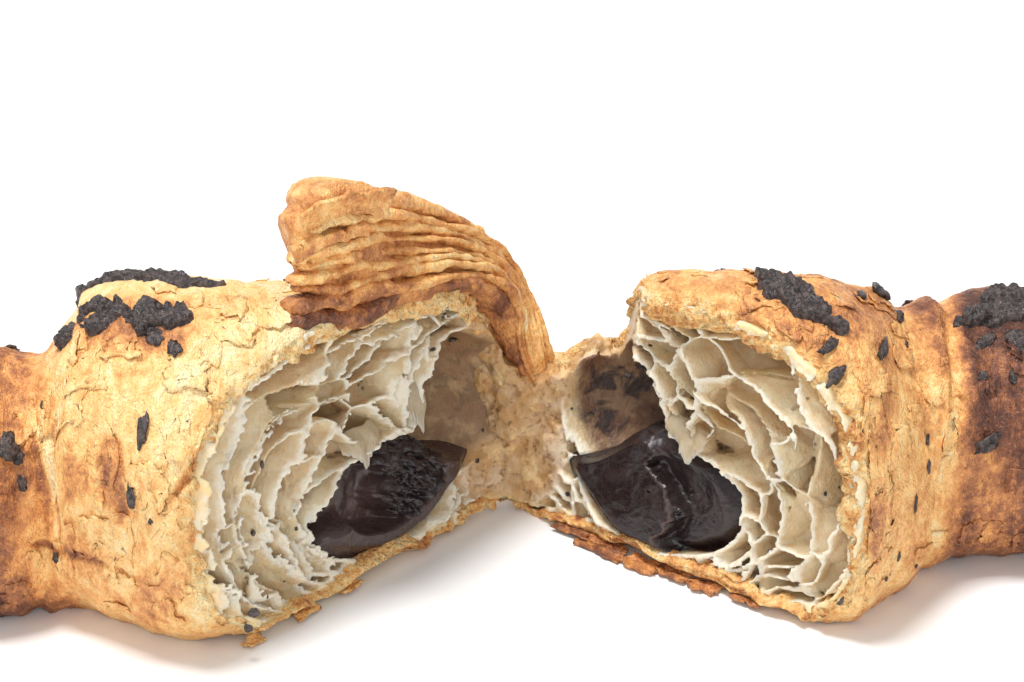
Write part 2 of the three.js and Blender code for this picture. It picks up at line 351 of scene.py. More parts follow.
def section_outline(face):
    """Where the roll's outside crosses the plane of a torn face, as p and q."""
    around = full_turn(240)
    x = np.linspace(-60, 60, 481)
    grid = crust_point(*np.meshgrid(x, around, indexing="ij"))
    depth = face.depth(grid)
    ends = []
    for k in range(len(around)):
        crossing = np.nonzero(np.diff(np.sign(depth[:, k])))[0][0]
        a, b = depth[crossing, k], depth[crossing + 1, k]
        point = grid[crossing, k] + (grid[crossing + 1, k] - grid[crossing, k]) * (a / (a - b))
        ends.append([float(face.reach(point)), point[2]])
    return np.array(ends)


# ---- the crust ----

CRUST_AROUND = 400
CRUST_ALONG = 205
LIP_ROWS = 14
# how far the crust sinks at the tear, and how far away that is felt
CURL = 1.5
CURL_REACH = 2.6
# the edges of the wraps: place along X, the side of the tip, height of the step
WRAP_EDGES = [(-61.5, -1, 0.9), (-79.5, -1, 0.8), (58.0, 1, 1.2), (84.0, 1, 0.8)]
# how dark the crust is baked along X, from 0 for cream to 1 for dark brown
BAKED = np.array([
    [-95, 0.92], [-80, 0.9], [-68, 0.86], [-63, 0.62], [-58, 0.4], [-45, 0.34], [-20, 0.3], [-5, 0.38],
    [10, 0.4], [30, 0.41], [48, 0.4], [56, 0.48], [61, 0.79], [75, 0.9], [92, 0.92], [100, 0.94],
])
# darker and paler places on the crust: along X, around in degrees, half sizes in millimetres,
# turn in degrees, how much darker and how much higher
MARKS = [
    (-51.5, 16, 1.7, 5.0, 10, 0.38, -0.1), (-40.6, 22, 0.6, 5.5, -36, 0.36, -0.7),
    (-61.0, 24, 0.45, 9.0, 4, 0.3, -0.25), (-62.2, 24, 0.4, 9.0, 4, -0.18, 0.15),
    (-63.2, 20, 0.4, 8.0, 4, 0.26, -0.2), (-60.0, 18, 0.4, 8.0, 4, -0.16, 0.15),
    (-57.0, 15, 1.6, 3.4, 0, 0.26, -0.3), (-58.5, -8, 0.6, 6.0, 75, 0.3, -0.4),
    (-34.0, -16, 2.2, 3.0, 20, 0.18, 0.1), (-39.0, 88, 3.0, 1.2, 30, 0.14, -0.2),
    (49.5, 4, 1.6, 8.0, -6, 0.12, 0.2), (53.5, 40, 2.0, 3.0, 20, 0.06, 0.1),
    (44.5, 72, 2.0, 4.0, 30, 0.14, 0.0), (66.0, 30, 3.5, 5.0, 0, 0.1, 0.1),
    (-51.0, 76, 8.5, 5.5, 0, 0.24, 0.0), (42.0, 80, 5.0, 7.0, -30, 0.12, 0.0),
    (-46.0, 66, 2.5, 3.4, 20, 0.24, 0.0),
]
cuts = {}


def terraces(ground, count, seed):
    """Steps cut from a rolling ground: their height in steps, and a shade for each, from -0.5 to 0.5."""
    levels = ground * count
    number = np.floor(levels)
    shade = TABLE[hashed(number.astype(np.int32), 3, 5, seed)] - 0.5
    return number + smooth(0, 0.35, levels - number), shade


def crust_relief(base, x, around):
    """How far the flaky crust stands out from its smooth shape, and how dark it is baked, with painted light
    on its tops.
    """
    s = np.sin(around)
    rise = 0.55 * layered(base, 11, 2, 21) + 0.25 * layered(base, 4.2, 3, 31)
    # stretch lines that run around the roll
    squeezed = base * np.array([1, 0.13, 0.13])
    lines = layered(squeezed, 1.9, 2, 41)
    rise = rise + 0.2 * lines
    # thin layers that have flaked off in steps with ragged edges, each baked a little differently
    frayed = base + 0.6 * np.stack([layered(base + 40 * n, 1.8, 2, 55) for n in range(3)], -1)
    # on the left half they lean with the tear
    lean = 0.5 * smooth(10, -10, x) * (base[..., 1] + base[..., 2])
    frayed = np.stack([1.2 * (frayed[..., 0] - lean), 0.65 * frayed[..., 1], 0.65 * frayed[..., 2]], -1)
    wide, wide_shade = terraces(layered(frayed, 7, 5, 51, 0.66), 4.5, 1)
    small, small_shade = terraces(layered(frayed, 2.8, 4, 61, 0.62), 2.5, 2)
    rise = rise + 0.05 * wide + 0.06 * small
    tone = np.interp(x, BAKED[:, 0], BAKED[:, 1])
    right = smooth(0, 20, x)
    # painted light: the top of the right half is darker with painted shade, and the top of the left half
    # paler with a painted highlight
    tone = tone + 0.16 * right * smooth(0.6, 1.0, s) - 0.1 * (1 - right) * smooth(0.3, 0.95, s)
    tone = tone + (0.04 + 0.06 * right - 0.06 * smooth(54, 60, x)) * smooth(-0.35, -0.9, s)
    tone = tone + (0.16 - 0.08 * smooth(54, 62, x)) * layered(base, 13, 3, 201)
    tone = tone + 0.08 * layered(base, 3.5, 3, 211)
    tone = tone + 0.12 * wide_shade + 0.1 * small_shade - 0.025 * wide + 0.06 * lines
    for place, degrees, half_x, half_round, turn, darker, higher in MARKS:
        u = x - place + 0.6 * lines
        v = (around - math.radians(degrees) + np.pi) % (2 * np.pi) - np.pi
        v = v * USUAL_RADIUS
        cosine, sine = math.cos(math.radians(turn)), math.sin(math.radians(turn))
        spread = ((u * cosine + v * sine) / half_x) ** 2 + ((v * cosine - u * sine) / half_round) ** 2
        mark = smooth(1.7, 0.4, spread + 0.5 * lines)
        tone = tone + darker * mark
        rise = rise + higher * mark
    for place, tip, height in WRAP_EDGES:
        past = (x - place - WRAP_SLANT * s - 0.9 * layered(base * np.array([0, 1, 1]), 8, 2, 7)) * tip
        rise = rise + height * np.exp(np.minimum(past, 0) / 5) * smooth(0.5, -0.4, past)
        rise = rise - 0.6 * np.exp(-(((past - 1.2) / 1.3) ** 2))
        tone = tone - (0.1 + 0.34 * right) * np.exp(-(((past - 1.4) / 1.9) ** 2))
        tone = tone + 0.08 * np.exp(-((past / 0.5) ** 2))
    return rise, tone


def crust_surface(x, around, out=0.0):
    """Points on the flaky crust, or a little way out from it."""
    base = crust_point(x, around)
    rise = crust_relief(base, x, around)[0]
    return base + crust_normal(x, around) * (rise + out)[..., None]


def crust_cut(face, around):
    """Where along X the crust of one half begins, for each angle around."""
    x = np.linspace(-70, 70, 1121)
    grid = crust_point(*np.meshgrid(x, around, indexing="ij"))
    torn = (LEFT.depth(grid) < 0) & (RIGHT.depth(grid) < 0)
    torn |= grid[..., 2] > wall_top(grid[..., 0])
    cut = np.full(len(around), TEAR_MIDDLE)
    for k in range(len(around)):
        gone = x[torn[:, k]]
        if len(gone):
            cut[k] = gone.min() if face.side == "left" else gone.max()
    return cut


def crust(face):
    """The crust of one half: a skin around the roll, from the torn rim to the tip."""
    turn = full_turn(CRUST_AROUND)
    around = turn - 0.3 * np.sin(turn - math.radians(50))
    cut = crust_cut(face, around)
    cuts[face.side] = around, cut
    left = face.side == "left"
    outwards = -1 if left else 1
    tip = STATIONS[0, 0] if left else STATIONS[-1, 0]
    torn = smooth(0.2, 2.5, np.abs(cut - TEAR_MIDDLE))
    share = np.linspace(0, 1, CRUST_ALONG)
    share = (share * (0.66 + 0.34 * share))[:, None]
    start = cut + outwards * 0.9 * torn
    x = start + (tip - start) * share
    wide = np.broadcast_to(around, x.shape)
    ragged = 0.7 * layered(crust_point(x, wide), 2.8, 3, 11) * np.exp(-np.abs(x - cut) / 3)
    x = x + ragged
    base = crust_point(x, wide)
    normal = crust_normal(x, wide)
    from_tear = np.abs(x - cut)
    rise, tone = crust_relief(base, x, wide)
    # the crust curls in towards the tear, and is crumbly there
    near_tear = np.exp(-from_tear / CURL_REACH) * torn
    rise = rise + near_tear * (-CURL + 0.8 * layered(base, 1.1, 3, 71))
    tone = tone - torn * (0.24 if left else 0.18) * np.exp(-from_tear / 4.5)
    tone = tone + 0.16 * near_tear * layered(base, 0.9, 2, 73)
    crumbly = torn * np.exp(-from_tear / 3)
    points = base + normal * rise[..., None]
    points[..., 2] = np.maximum(points[..., 2], 0.0)

    # the torn rim: layers of crust seen from their ends, which fade into the crumb
    edge = points[0]
    tangent = np.roll(edge, -1, 0) - np.roll(edge, 1, 0)
    tangent /= np.maximum(np.linalg.norm(tangent, axis=-1, keepdims=True), 1e-6)
    open_way = np.cross(tangent, normal[0]) * (1 if left else -1)
    length = np.cumsum(np.linalg.norm(np.roll(edge, -1, 0) - edge, axis=-1))
    # the rim is widest on top, and narrow underneath
    wide_rim = 1.7 + (2.3 if left else 3.0) * smooth(-0.5, 0.3, np.sin(around))
    wide_rim = wide_rim + 0.8 * layered(edge, 7, 2, 331)
    rows, shades = [], []
    for n in range(LIP_ROWS, 0, -1):
        inwards = wide_rim * n / LIP_ROWS
        place = edge - normal[0] * inwards[:, None]
        leafy = np.stack([length / 3.5, inwards / 0.6, 0 * length], -1)
        bulge = 0.9 * np.sin(min(n / 6, 1) * np.pi / 2) - 0.04 * max(n - 7, 0) ** 2
        fluff = 0.5 * layered(leafy, 1, 2, 301) + 0.55 * layered(place, 1.1, 3, 311)
        row = place + open_way * (torn * (bulge + fluff))[:, None]
        row[:, 2] = np.maximum(row[:, 2], 0.0)
        rows.append(row)
        pale = 0.5 * np.exp(-inwards / 1.5)
        shade = tone[0] * pale + (0.26 if left else 0.34) * (1 - pale)
        shade = shade + (0.08 if left else 0.12) * smooth(-0.4, -0.9, np.sin(around))
        shades.append(shade + 0.2 * layered(leafy, 1, 2, 321) + 0.14 * layered(place, 0.8, 2, 323))
    points = np.concatenate([np.stack(rows), points])
    tone = np.concatenate([np.stack(shades), tone])
    crumbly = np.concatenate([np.broadcast_to(torn, (LIP_ROWS, CRUST_AROUND)), crumbly])
    faces = [grid_faces(len(points), CRUST_AROUND, True, flip=not left)]
    values = {"tone": tone, "crumbly": crumbly}
    mesh_object(f"crust_{face.side}", points, faces, "crust", values, ("dough",) if left else ())


# ---- the crumb in the torn faces ----

CRUMB_STEP = 0.27
CRUMB_DEPTH = 15.0
CRUMB_TRIANGLES = 185000
# layers across the crumb, the least thickness of one, the length and depth of a cell,
# how much thinner the layers are towards the crust, and how ragged the walls end
CELLS = {
    "left": {"layers": 6.2, "least": 1.8, "length": 8.5, "depth": 6.5, "power": 1.25, "ragged": 0.45},
    "right": {"layers": 5.0, "least": 1.9, "length": 6.4, "depth": 5.2, "power": 1.1, "ragged": 0.34},
}
OPENINGS = {  # the tunnel and the hollow in each face: centre p, q and half sizes
    "left": [(22.6, 10.8, 15.2, 8.0), (6.8, 19.5, 8.4, 11.0)],
    "right": [(26.6, 11.0, 14.6, 8.4), (17.0, 20.5, 10.0, 9.5)],
}
LAYER_CENTRE = {"left": (15.0, 15.0), "right": (20.0, 15.0)}
DENSE_BY_HINGE = {"left": 5.5, "right": 7.0}
fronts = {}


def inner_distance(face, p, q):
    """The distance outwards from the tunnel and the hollow, negative inside them."""
    best = np.full(np.shape(p), 1e9, np.float32)
    for cp, cq, wide, high in OPENINGS[face.side]:
        u = (p - cp) / wide
        v = (q - cq) / high
        k = np.sqrt(u * u + v * v) + 1e-6
        slope = np.sqrt((u / wide) ** 2 + (v / high) ** 2) / k
        best = np.minimum(best, (k - 1) / np.maximum(slope, 1e-3))
    return best


def nearest_seeds(cells):
    """For points in lattice space, the two nearest of the seeds that stand one in each cell."""
    base = np.floor(cells).astype(np.int32)
    far = np.full(len(cells), 1e9, np.float32)
    first = {"d": far.copy(), "at": np.zeros_like(cells), "id": np.zeros(len(cells), np.int32)}
    second = {"d": far.copy(), "at": np.zeros_like(cells), "id": np.zeros(len(cells), np.int32)}
    for a in (-1, 0, 1):
        for b in (-1, 0, 1):
            for c in (-1, 0, 1):
                i, j, k = base[:, 0] + a, base[:, 1] + b, base[:, 2] + c
                h = hashed(i, j, k, 5)
                seed = np.stack([i + 0.12 + 0.76 * TABLE[h], j + 0.08 + 0.84 * TABLE[h ^ 21845],
                                 k + 0.1 + 0.8 * TABLE[h ^ 43690]], -1).astype(np.float32)
                gap = cells - seed
                d = np.einsum("ij,ij->i", gap, gap)
                key = (i * 1024 + j) * 1024 + k
                nearer = d < first["d"]
                middle = ~nearer & (d < second["d"])
                for name, value in (("d", d), ("at", seed), ("id", key)):
                    second[name][nearer] = first[name][nearer]
                    second[name][middle] = value[middle]
                    first[name][nearer] = value[nearer]
    return first, second


def crumb(face):
    """The crumb behind a torn face: open cells between thin walls, in layers around the filling."""
    h = CRUMB_STEP
    outline = section_outline(face)
    low = np.array([outline[:, 0].min() - 1, -0.9, -2.4])
    high = np.array([outline[:, 0].max() + 1, outline[:, 1].max() + 1, CRUMB_DEPTH + 0.6])
    shape = tuple(((high - low) / h).astype(int) + 1)
    p, q, d = np.meshgrid(*[low[n] + h * np.arange(shape[n]) for n in range(3)], indexing="ij")
    p, q, d = (v.astype(np.float32) for v in (p, q, d))
    places = face.place(p, q, d).astype(np.float32)

    def broad(scale, octaves, seed):
        """Broad noise through the block, worked out on a coarse grid."""
        every = max(int(scale / octaves / 6 / h), 1)
        coarse = layered(places[::every, ::every, ::every], scale, octaves, seed)
        for axis in range(3):
            u = np.minimum(np.arange(shape[axis]) / every, coarse.shape[axis] - 1.001)
            i = u.astype(int)
            part = (u - i).astype(np.float32).reshape([-1 if n == axis else 1 for n in range(3)])
            coarse = coarse.take(i, axis) * (1 - part) + coarse.take(i + 1, axis) * part
        return coarse[keep]

    rim = body_distance(places).astype(np.float32)
    run_p = p - face.shear * d
    # the hollows follow the roll's run, and close with depth
    inner = inner_distance(face, run_p, q) + np.maximum(d - 6, 0) ** 2 / 9
    keep = (rim > -0.8) & (inner > -1.2)
    at, rim, inner, p, d, q, run_p = (v[keep] for v in (places, rim, inner, p, d, q, run_p))
    thick = np.maximum(rim, 0) + np.maximum(inner, 0) + 0.2
    ratio = np.clip(inner / thick, 0, 1)

    cp, cq = LAYER_CENTRE[face.side]
    angle = np.arctan2(q - cq, run_p - cp)
    radius = np.hypot(q - cq, run_p - cp)
    cell = CELLS[face.side]
    power = cell["power"]
    # the layers are thinner towards the crust, and there are more of them low down
    low_down = np.exp(-(((angle + 0.8) / 0.6) ** 2))
    layers = np.clip(thick / cell["least"], 1.3, cell["layers"] * (1 + 0.5 * low_down))
    # the cells are shorter low down, away from the hinge
    turns = np.linspace(-np.pi, np.pi, 181)
    crowd = 1 + 1.4 * np.exp(-(((turns + 0.95) / 0.75) ** 2))
    counted = np.cumsum(crowd) * (turns[1] - turns[0]) * USUAL_RADIUS / cell["length"]
    crowding = np.interp(angle, turns, crowd) * USUAL_RADIUS / cell["length"]
    cells = np.stack([
        layers * ratio**power + 0.35 * broad(9, 2, 81),
        np.interp(angle, turns, counted) + 0.45 * broad(12, 2, 91) + 40,
        d / cell["depth"] + 0.35 * broad(14, 2, 101) + 20,
    ], -1).astype(np.float32)
    first, second = nearest_seeds(cells)
    scale = np.stack([
        layers / thick * power * np.maximum(ratio, 0.1) ** (power - 1),
        crowding / np.maximum(radius, 4), np.full_like(thick, 1 / cell["depth"]),
    ], -1)
    between = (first["at"] - second["at"]) * scale
    wall = (second["d"] - first["d"]) / 2 / np.maximum(np.linalg.norm(between, axis=1), 1e-4)

    # the torn surface: it sinks towards the filling, and is dense by the hinge
    tear = 0.5 + 1.9 * (1 - ratio) ** 1.5 * smooth(2, 12, thick) + 0.8 * broad(10, 2, 111)
    tear = tear - 2.6 * np.exp(-((np.maximum(p, -1) / 4) ** 2))
    dense = smooth(1.5, -1.5, run_p - DENSE_BY_HINGE[face.side] - 1.5 * broad(5, 1, 115))
    touched = np.unique(first["id"][(d > tear) & (d < tear + 1.1) & (rim > 1.2)])
    is_open = np.isin(first["id"], touched) & (dense < 0.5)
    # no wall across the mouth of an open cell
    facing = np.abs(between[:, 2]) / np.maximum(np.linalg.norm(between, axis=1), 1e-4)
    mouth = smooth(0.6, 0.8, facing) * smooth(4.0, 2.5, d - tear) * np.isin(second["id"], touched)
    wall = wall + 4 * mouth
    body = 0.19 + 0.2 * np.exp(-rim / 2.5) + 0.05 * broad(3, 1, 121)
    value = np.where(is_open, wall, -wall) - body
    value = np.minimum(value, np.abs(inner - 0.3) - 0.26)
    value = np.minimum(value, rim - 2.3 - 0.7 * broad(2.2, 1, 131))
    pair = hashed(first["id"] ^ second["id"], first["id"] * 0, second["id"] * 0, 3)
    ends = (-0.8 + 1.6 * TABLE[pair]) * (1.0 if face.side == "left" else 0.6)
    ends = np.where(inner < 0.8, -0.4 + 0.8 * broad(4, 1, 141), ends) * smooth(1.0, 3.5, rim) * (1 - dense)
    front = tear + ends
    near = np.abs(d - front) < 2.0
    rough = np.maximum(dense, smooth(3.5, 1.5, rim))[near]
    front[near] += cell["ragged"] * (1 - rough) * layered(at[near], 0.8, 2, 151)
    front[near] += rough * (0.6 * layered(at[near], 1.0, 2, 155) + 0.6 * layered(at[near], 3.2, 2, 157))
    value = np.maximum(value, (front - d) * 0.8)
    value = np.maximum(value, -inner)
    value = np.maximum(value, 1.7 - rim)
    over_wall = at[:, 2] - wall_top(at[:, 0])
    near = np.abs(over_wall) < 2.0
    over_wall[near] += 1.1 * layered(at[near], 1.5, 3, 161)
    value = np.maximum(value, over_wall * 0.6)
    value = np.maximum(value, d - CRUMB_DEPTH)

    field = np.ones(shape, np.float32)
    field[keep] = np.clip(value, -1, 1)
    grid = openvdb.FloatGrid(background=1.0)
    grid.copyFromArray(field)
    points, triangles, quads = grid.convertToPolygons(isovalue=0.0, adaptivity=0.3)
    points, faces = decimated(points, [triangles, quads], CRUMB_TRIANGLES)
    spot = tuple(np.clip(np.rint(points).astype(int), 0, np.array(shape) - 1).T)

    # edge and depth also set the crumb's painted highlights on torn edges and its painted shade in deep
    # cells
    values = {"rim": rim, "inner": inner, "edge": d - front, "depth": d - tear, "dense": dense}
    for key, numbers in values.items():
        full = np.zeros(shape, np.float32)
        full[keep] = numbers
        values[key] = full[spot]
    solid = field < 0
    fronts[face.side] = low, np.where(solid.any(2), low[2] + h * solid.argmax(2), NO_LIMIT)
    world = face.place(*(low + points * h).T)
    mesh_object(f"crumb_{face.side}", world, faces, "crumb", values)


def front_depth(face, p, q):
    """How deep the crumb's surface lies behind the torn face at p and q."""
    low, depths = fronts[face.side]
    return float(depths[int((p - low[0]) / CRUMB_STEP), int((q - low[1]) / CRUMB_STEP)])


# ---- the flap of torn crust layers ----

FLAP_PATH = np.array([  # its middle, half its height, half its thickness, and its lean from upright
    [3.2, 1.5, 20, 3, 2.2, 55], [0, 2, 30, 3.6, 2.6, 45], [-3.8, -0.5, 37, 4.4, 3, 34],
    [-9, -6, 42.2, 5.2, 3.4, 24], [-15.6, -13, 45.6, 7.4, 4, 16], [-21.8, -20.5, 48.3, 9, 4.6, 12],
    [-26, -24.5, 49, 9.4, 4.6, 12], [-28.8, -26.5, 48.4, 7.5, 3.4, 12],
])
FLAP_LENGTH = 57.0
FLAP_ALONG = 120
FLAP_AROUND = 22
# the core, and the layers before it: height in the flap from -1 to 1, share of its height, where each
# ends along it, how far it stands out, its share of the thickness, and how dark it is baked
FLAP_LAYERS = [
    (0.0, 0.9, 0.97, -0.7, 0.85, 0.84),
    (0.86, 0.19, 0.89, -0.4, 1.0, 0.8), (0.62, 0.12, 0.93, 0.4, 0.9, 0.74),
    (0.42, 0.12, 0.98, 0.6, 0.85, 0.68), (0.22, 0.1, 1.01, 0.9, 0.8, 0.7),
    (0.04, 0.09, 1.0, 0.5, 0.8, 0.74), (-0.14, 0.1, 1.03, 0.8, 0.8, 0.68),
    (-0.33, 0.11, 1.02, 0.6, 0.85, 0.74), (-0.54, 0.13, 1.06, 0.7, 0.95, 0.84),
    (-0.8, 0.22, 1.09, 0.3, 0.95, 1.04),
]
# the open lips: start and end along the flap, foot and top in its height, how far out, and curl
FLAP_LIPS = [(0.68, 0.94, 0.62, 0.98, 0.7, 1.8), (0.74, 1.02, 0.3, 0.5, 0.8, 0.5)]


def flap_frame(u):
    """The flap's middle, its own axes and its half height and thickness, at shares u of its length."""
    last = len(FLAP_PATH) - 1
    spot = np.clip(u, 0, 1) * last
    fields = path(FLAP_PATH, spot)
    ahead, behind = (path(FLAP_PATH[:, :3], np.clip(spot + step, 0, last)) for step in (0.05, -0.05))
    forward = ahead - behind
    forward /= np.linalg.norm(forward, axis=-1, keepdims=True)
    middle = fields[:, :3] + forward * (np.maximum(u - 1, 0) * FLAP_LENGTH)[:, None]
    level = np.cross([0, 0, 1], forward)
    level /= np.linalg.norm(level, axis=-1, keepdims=True)
    lean = np.radians(fields[:, 5:])
    high = np.cross(forward, level) * np.cos(lean) - level * np.sin(lean)
    return middle, high, np.cross(high, forward), fields[:, 3:4], fields[:, 4:5]


def flap_layer(place, share, end, out, thick, tone, seed):
    """One layer of the flap: a wavy closed strip that narrows towards the hinge."""
    u = end * (1 - (1 - np.linspace(0.0, 1.0, FLAP_ALONG)) ** 1.3)
    middle, high, wide, half, deep = flap_frame(u)
    turn = full_turn(FLAP_AROUND)
    c, s = np.cos(turn), np.sin(turn)
    c, s = np.sign(c) * np.abs(c) ** 0.75, np.sign(s) * np.abs(s) ** 0.85
    left_over = np.clip((end - u) / 0.045, 0, 1)[:, None]
    cap = np.sqrt(1 - (1 - left_over) ** 2) ** 0.7
    line = np.stack([u * 9, np.full_like(u, seed * 2.3), 0 * u], -1)
    rise = place + 0.09 * layered(line, 1.7, 3, 401)[:, None] * smooth(0, 0.3, u)[:, None]
    front = out + (1.0 * layered(line, 1.3, 3, 411) * smooth(0, 0.3, u))[:, None]
    tall = share * (1 + 0.6 / (1 + 4 * share) * layered(line, 1.1, 3, 421))[:, None] * cap
    far = front * smooth(0, 0.25, u)[:, None] + deep * thick * c * cap
    up = half * (rise + tall * s)
    points = middle[:, None] + high[:, None] * up[..., None] + wide[:, None] * far[..., None]
    length = np.broadcast_to((u * FLAP_LENGTH)[:, None], far.shape)
    leafy = np.stack([length / 7, up / 0.8, far / 2.5], -1)
    bumps = 0.34 * layered(leafy, 1, 3, 431) + 0.3 * layered(points, 1.6, 3, 441)
    way = high[:, None] * s[None, :, None] + wide[:, None] * c[None, :, None]
    points = points + way * bumps[..., None]
    shade = tone - 0.27 + 0.08 * layered(leafy, 1.2, 3, 451) + 0.12 * layered(points, 6, 2, 461)
    shade = shade - 0.05 * smooth(0.25, 0.0, u)[:, None] - 0.14 * smooth(0.1, 0.5, bumps)
    shade = shade - 0.1 * smooth(0.1, 0.6, layered(points * np.array([0.5, 0.5, 1.4]), 4, 3, 465))
    # the lower left end is baked darkest
    shade = shade + 0.24 * smooth(0.72, 0.95, u)[:, None] * smooth(0.0, -0.4, place)
    return points, grid_faces(FLAP_ALONG, FLAP_AROUND, True), shade


def flap():
    parts = [flap_layer(*layer, seed) for seed, layer in enumerate(FLAP_LAYERS)]
    for seed, (start, end, low, high, out, curl) in enumerate(FLAP_LIPS):
        u, v = np.meshgrid(np.linspace(start, end, 44), np.linspace(low, high, 14), indexing="ij")
        middle, up, wide, half, deep = (a.reshape(*u.shape, -1) for a in flap_frame(u.ravel()))
        line = np.stack([u * 9, v * 1.5, 0 * u + seed], -1)
        out_by = out + curl * ((v - low) / (high - low)) ** 2 + 0.5 * layered(line, 1, 3, 471)
        edge = v + 0.06 * layered(line, 0.3, 2, 481)
        grid = middle + up * half * edge[..., None] + wide * (deep * 0.9 + out_by[..., None])
        points, faces = thick_sheet(grid, 0.7)
        parts.append((points, faces, 0.5 + 0.14 * layered(points, 3, 3, 491)))
    points, faces, tones = joined(parts)
    mesh_object("flap", points, [faces], "crust", {"tone": tones})


# ---- the filling ----

def filling(face):
    """The torn end of the chocolate in one half."""
    cp, cq, wide, high = OPENINGS[face.side][0]
    share = np.linspace(0.02, 1.08, 74)[:, None]
    turn = full_turn(190)[None]
    u = share * np.cos(turn)
    v = share * np.sin(turn)
    top = 0.88
    # the chocolate tapers to a point at its end towards the hinge
    towards_hinge = smooth(-0.15, -0.85, u)
    v = np.where(v > 0, v * top * (1 - 0.8 * towards_hinge), v * (1 - 0.25 * towards_hinge))
    p = cp + wide * u
    q = cq + high * v
    spot = np.stack([p, q, 0 * p], -1)
    wander = layered(spot * np.array([0.6, 1, 1]), 4, 3, 531)
    if face.side == "left":
        # a smooth skin along the lower edge, torn chunks above it, and a stretched film in the hollow beyond
        skin = smooth(0.56, 0.68, share + 0.04 * wander) * smooth(-0.1, 0.2, 0.15 - v - 0.25 * u)
        hollow = smooth(-0.1, 0.1, 0.9 * u - 0.25 * v - 0.12 + 0.16 * wander) * (1 - skin)
        chunks = np.abs(layered(spot, 4.2, 3, 501)) + 0.7 * np.abs(layered(spot, 1.5, 3, 511))
        folds = layered(spot * np.array([1, 0.45, 1]), 3.4, 2, 561)
        depth = 2.3 - 2.9 * chunks * (1 - skin) * (1 - hollow) - 1.7 * skin
        depth = depth + hollow * (2.6 + 0.5 * folds) + 0.25 * folds * skin
        depth = depth + 1.6 * smooth(0.82, 1.08, share) + 0.1 * layered(spot, 1.2, 2, 521)
        film = hollow * (0.35 + 0.65 * smooth(-0.1, 0.6, folds)) + 0.45 * skin
    else:
        # a smooth slanting face, and a hollow beyond a thin torn edge
        over = u - 0.14 + 0.18 * v + 0.34 * wander + 0.05 * layered(spot, 1.6, 2, 533)
        beyond = smooth(0.0, 0.12, over)
        depth = 0.5 + 1.5 * v + 3.2 * beyond * (1 - 0.4 * smooth(0.4, 1.0, share)) - 1.2 * beyond * v
        lip = np.exp(-(((over + 0.01) / 0.02) ** 2))
        depth = depth - 0.12 * lip * (1 + 0.8 * wander)
        depth = depth + 0.4 * layered(spot, 5, 2, 541) + 0.07 * layered(spot, 1.1, 3, 551)
        depth = depth + 1.6 * smooth(0.84, 1.08, share)
        film = lip * smooth(-0.8, 0.1, -v) + beyond * 0.1 * smooth(0.0, 0.5, layered(spot, 3, 2, 571))
    points = face.place(p, q, depth)
    back = face.place(p[-1:], q[-1:], np.full((1, p.shape[1]), 9.0))
    points = np.concatenate([points, back])
    faces = [grid_faces(len(points), p.shape[1], True, flip=face.side == "left")]
    values = {"film": np.concatenate([film, film[-1:]])}
    mesh_object(f"chocolate_{face.side}", points, faces, "chocolate", values, (f"filling_{face.side}",))


# ---- chocolate baked on the crust ----

# place along X and around in degrees, half sizes, slant, height and seed, nearly as in the solid model
PATCHES = {
    "patch_left_high": (-49, 102, 10, 6, -0.35, 0.9, 3),
    "patch_left_low": (-51, 77, 8.5, 9.5, -0.5, 1.5, 8),
    "patch_right_rim": (38.5, 84, 3.8, 16.0, -1.4, 1.5, 5),
    "patch_right_end": (71.5, 87, 8.5, 14, 0.2, 1.7, 6),
}


def patch(name, x, around, half_x, half_around, slant, height, seed):
    """A lumpy patch with a ragged outline, whose edge dips into the crust."""
    u, v = np.meshgrid(np.linspace(-1.4, 1.4, 92), np.linspace(-1.4, 1.4, 70), indexing="ij")
    px = x + half_x * u + slant * half_around * v * 0.2
    pa = np.radians(around + half_around * v)
    base = crust_surface(px, pa)
    mask = 0.9 - u * u - v * v + 1.15 * layered(base, 3.8, 4, 600 + seed)
    clods = np.abs(layered(base, 2.6, 3, 610 + seed)) + 0.3 * np.abs(layered(base, 0.8, 2, 620 + seed))
    rise = (height * (0.45 + 0.9 * clods) + 0.7) * smooth(-0.05, 0.4, mask) - 0.7
    points = base + crust_normal(px, pa) * rise[..., None]
    faces = [grid_faces(*u.shape, flip=True)]
    mesh_object(f"shown_{name}", points, faces, "baked_chocolate", replaces=(name,))


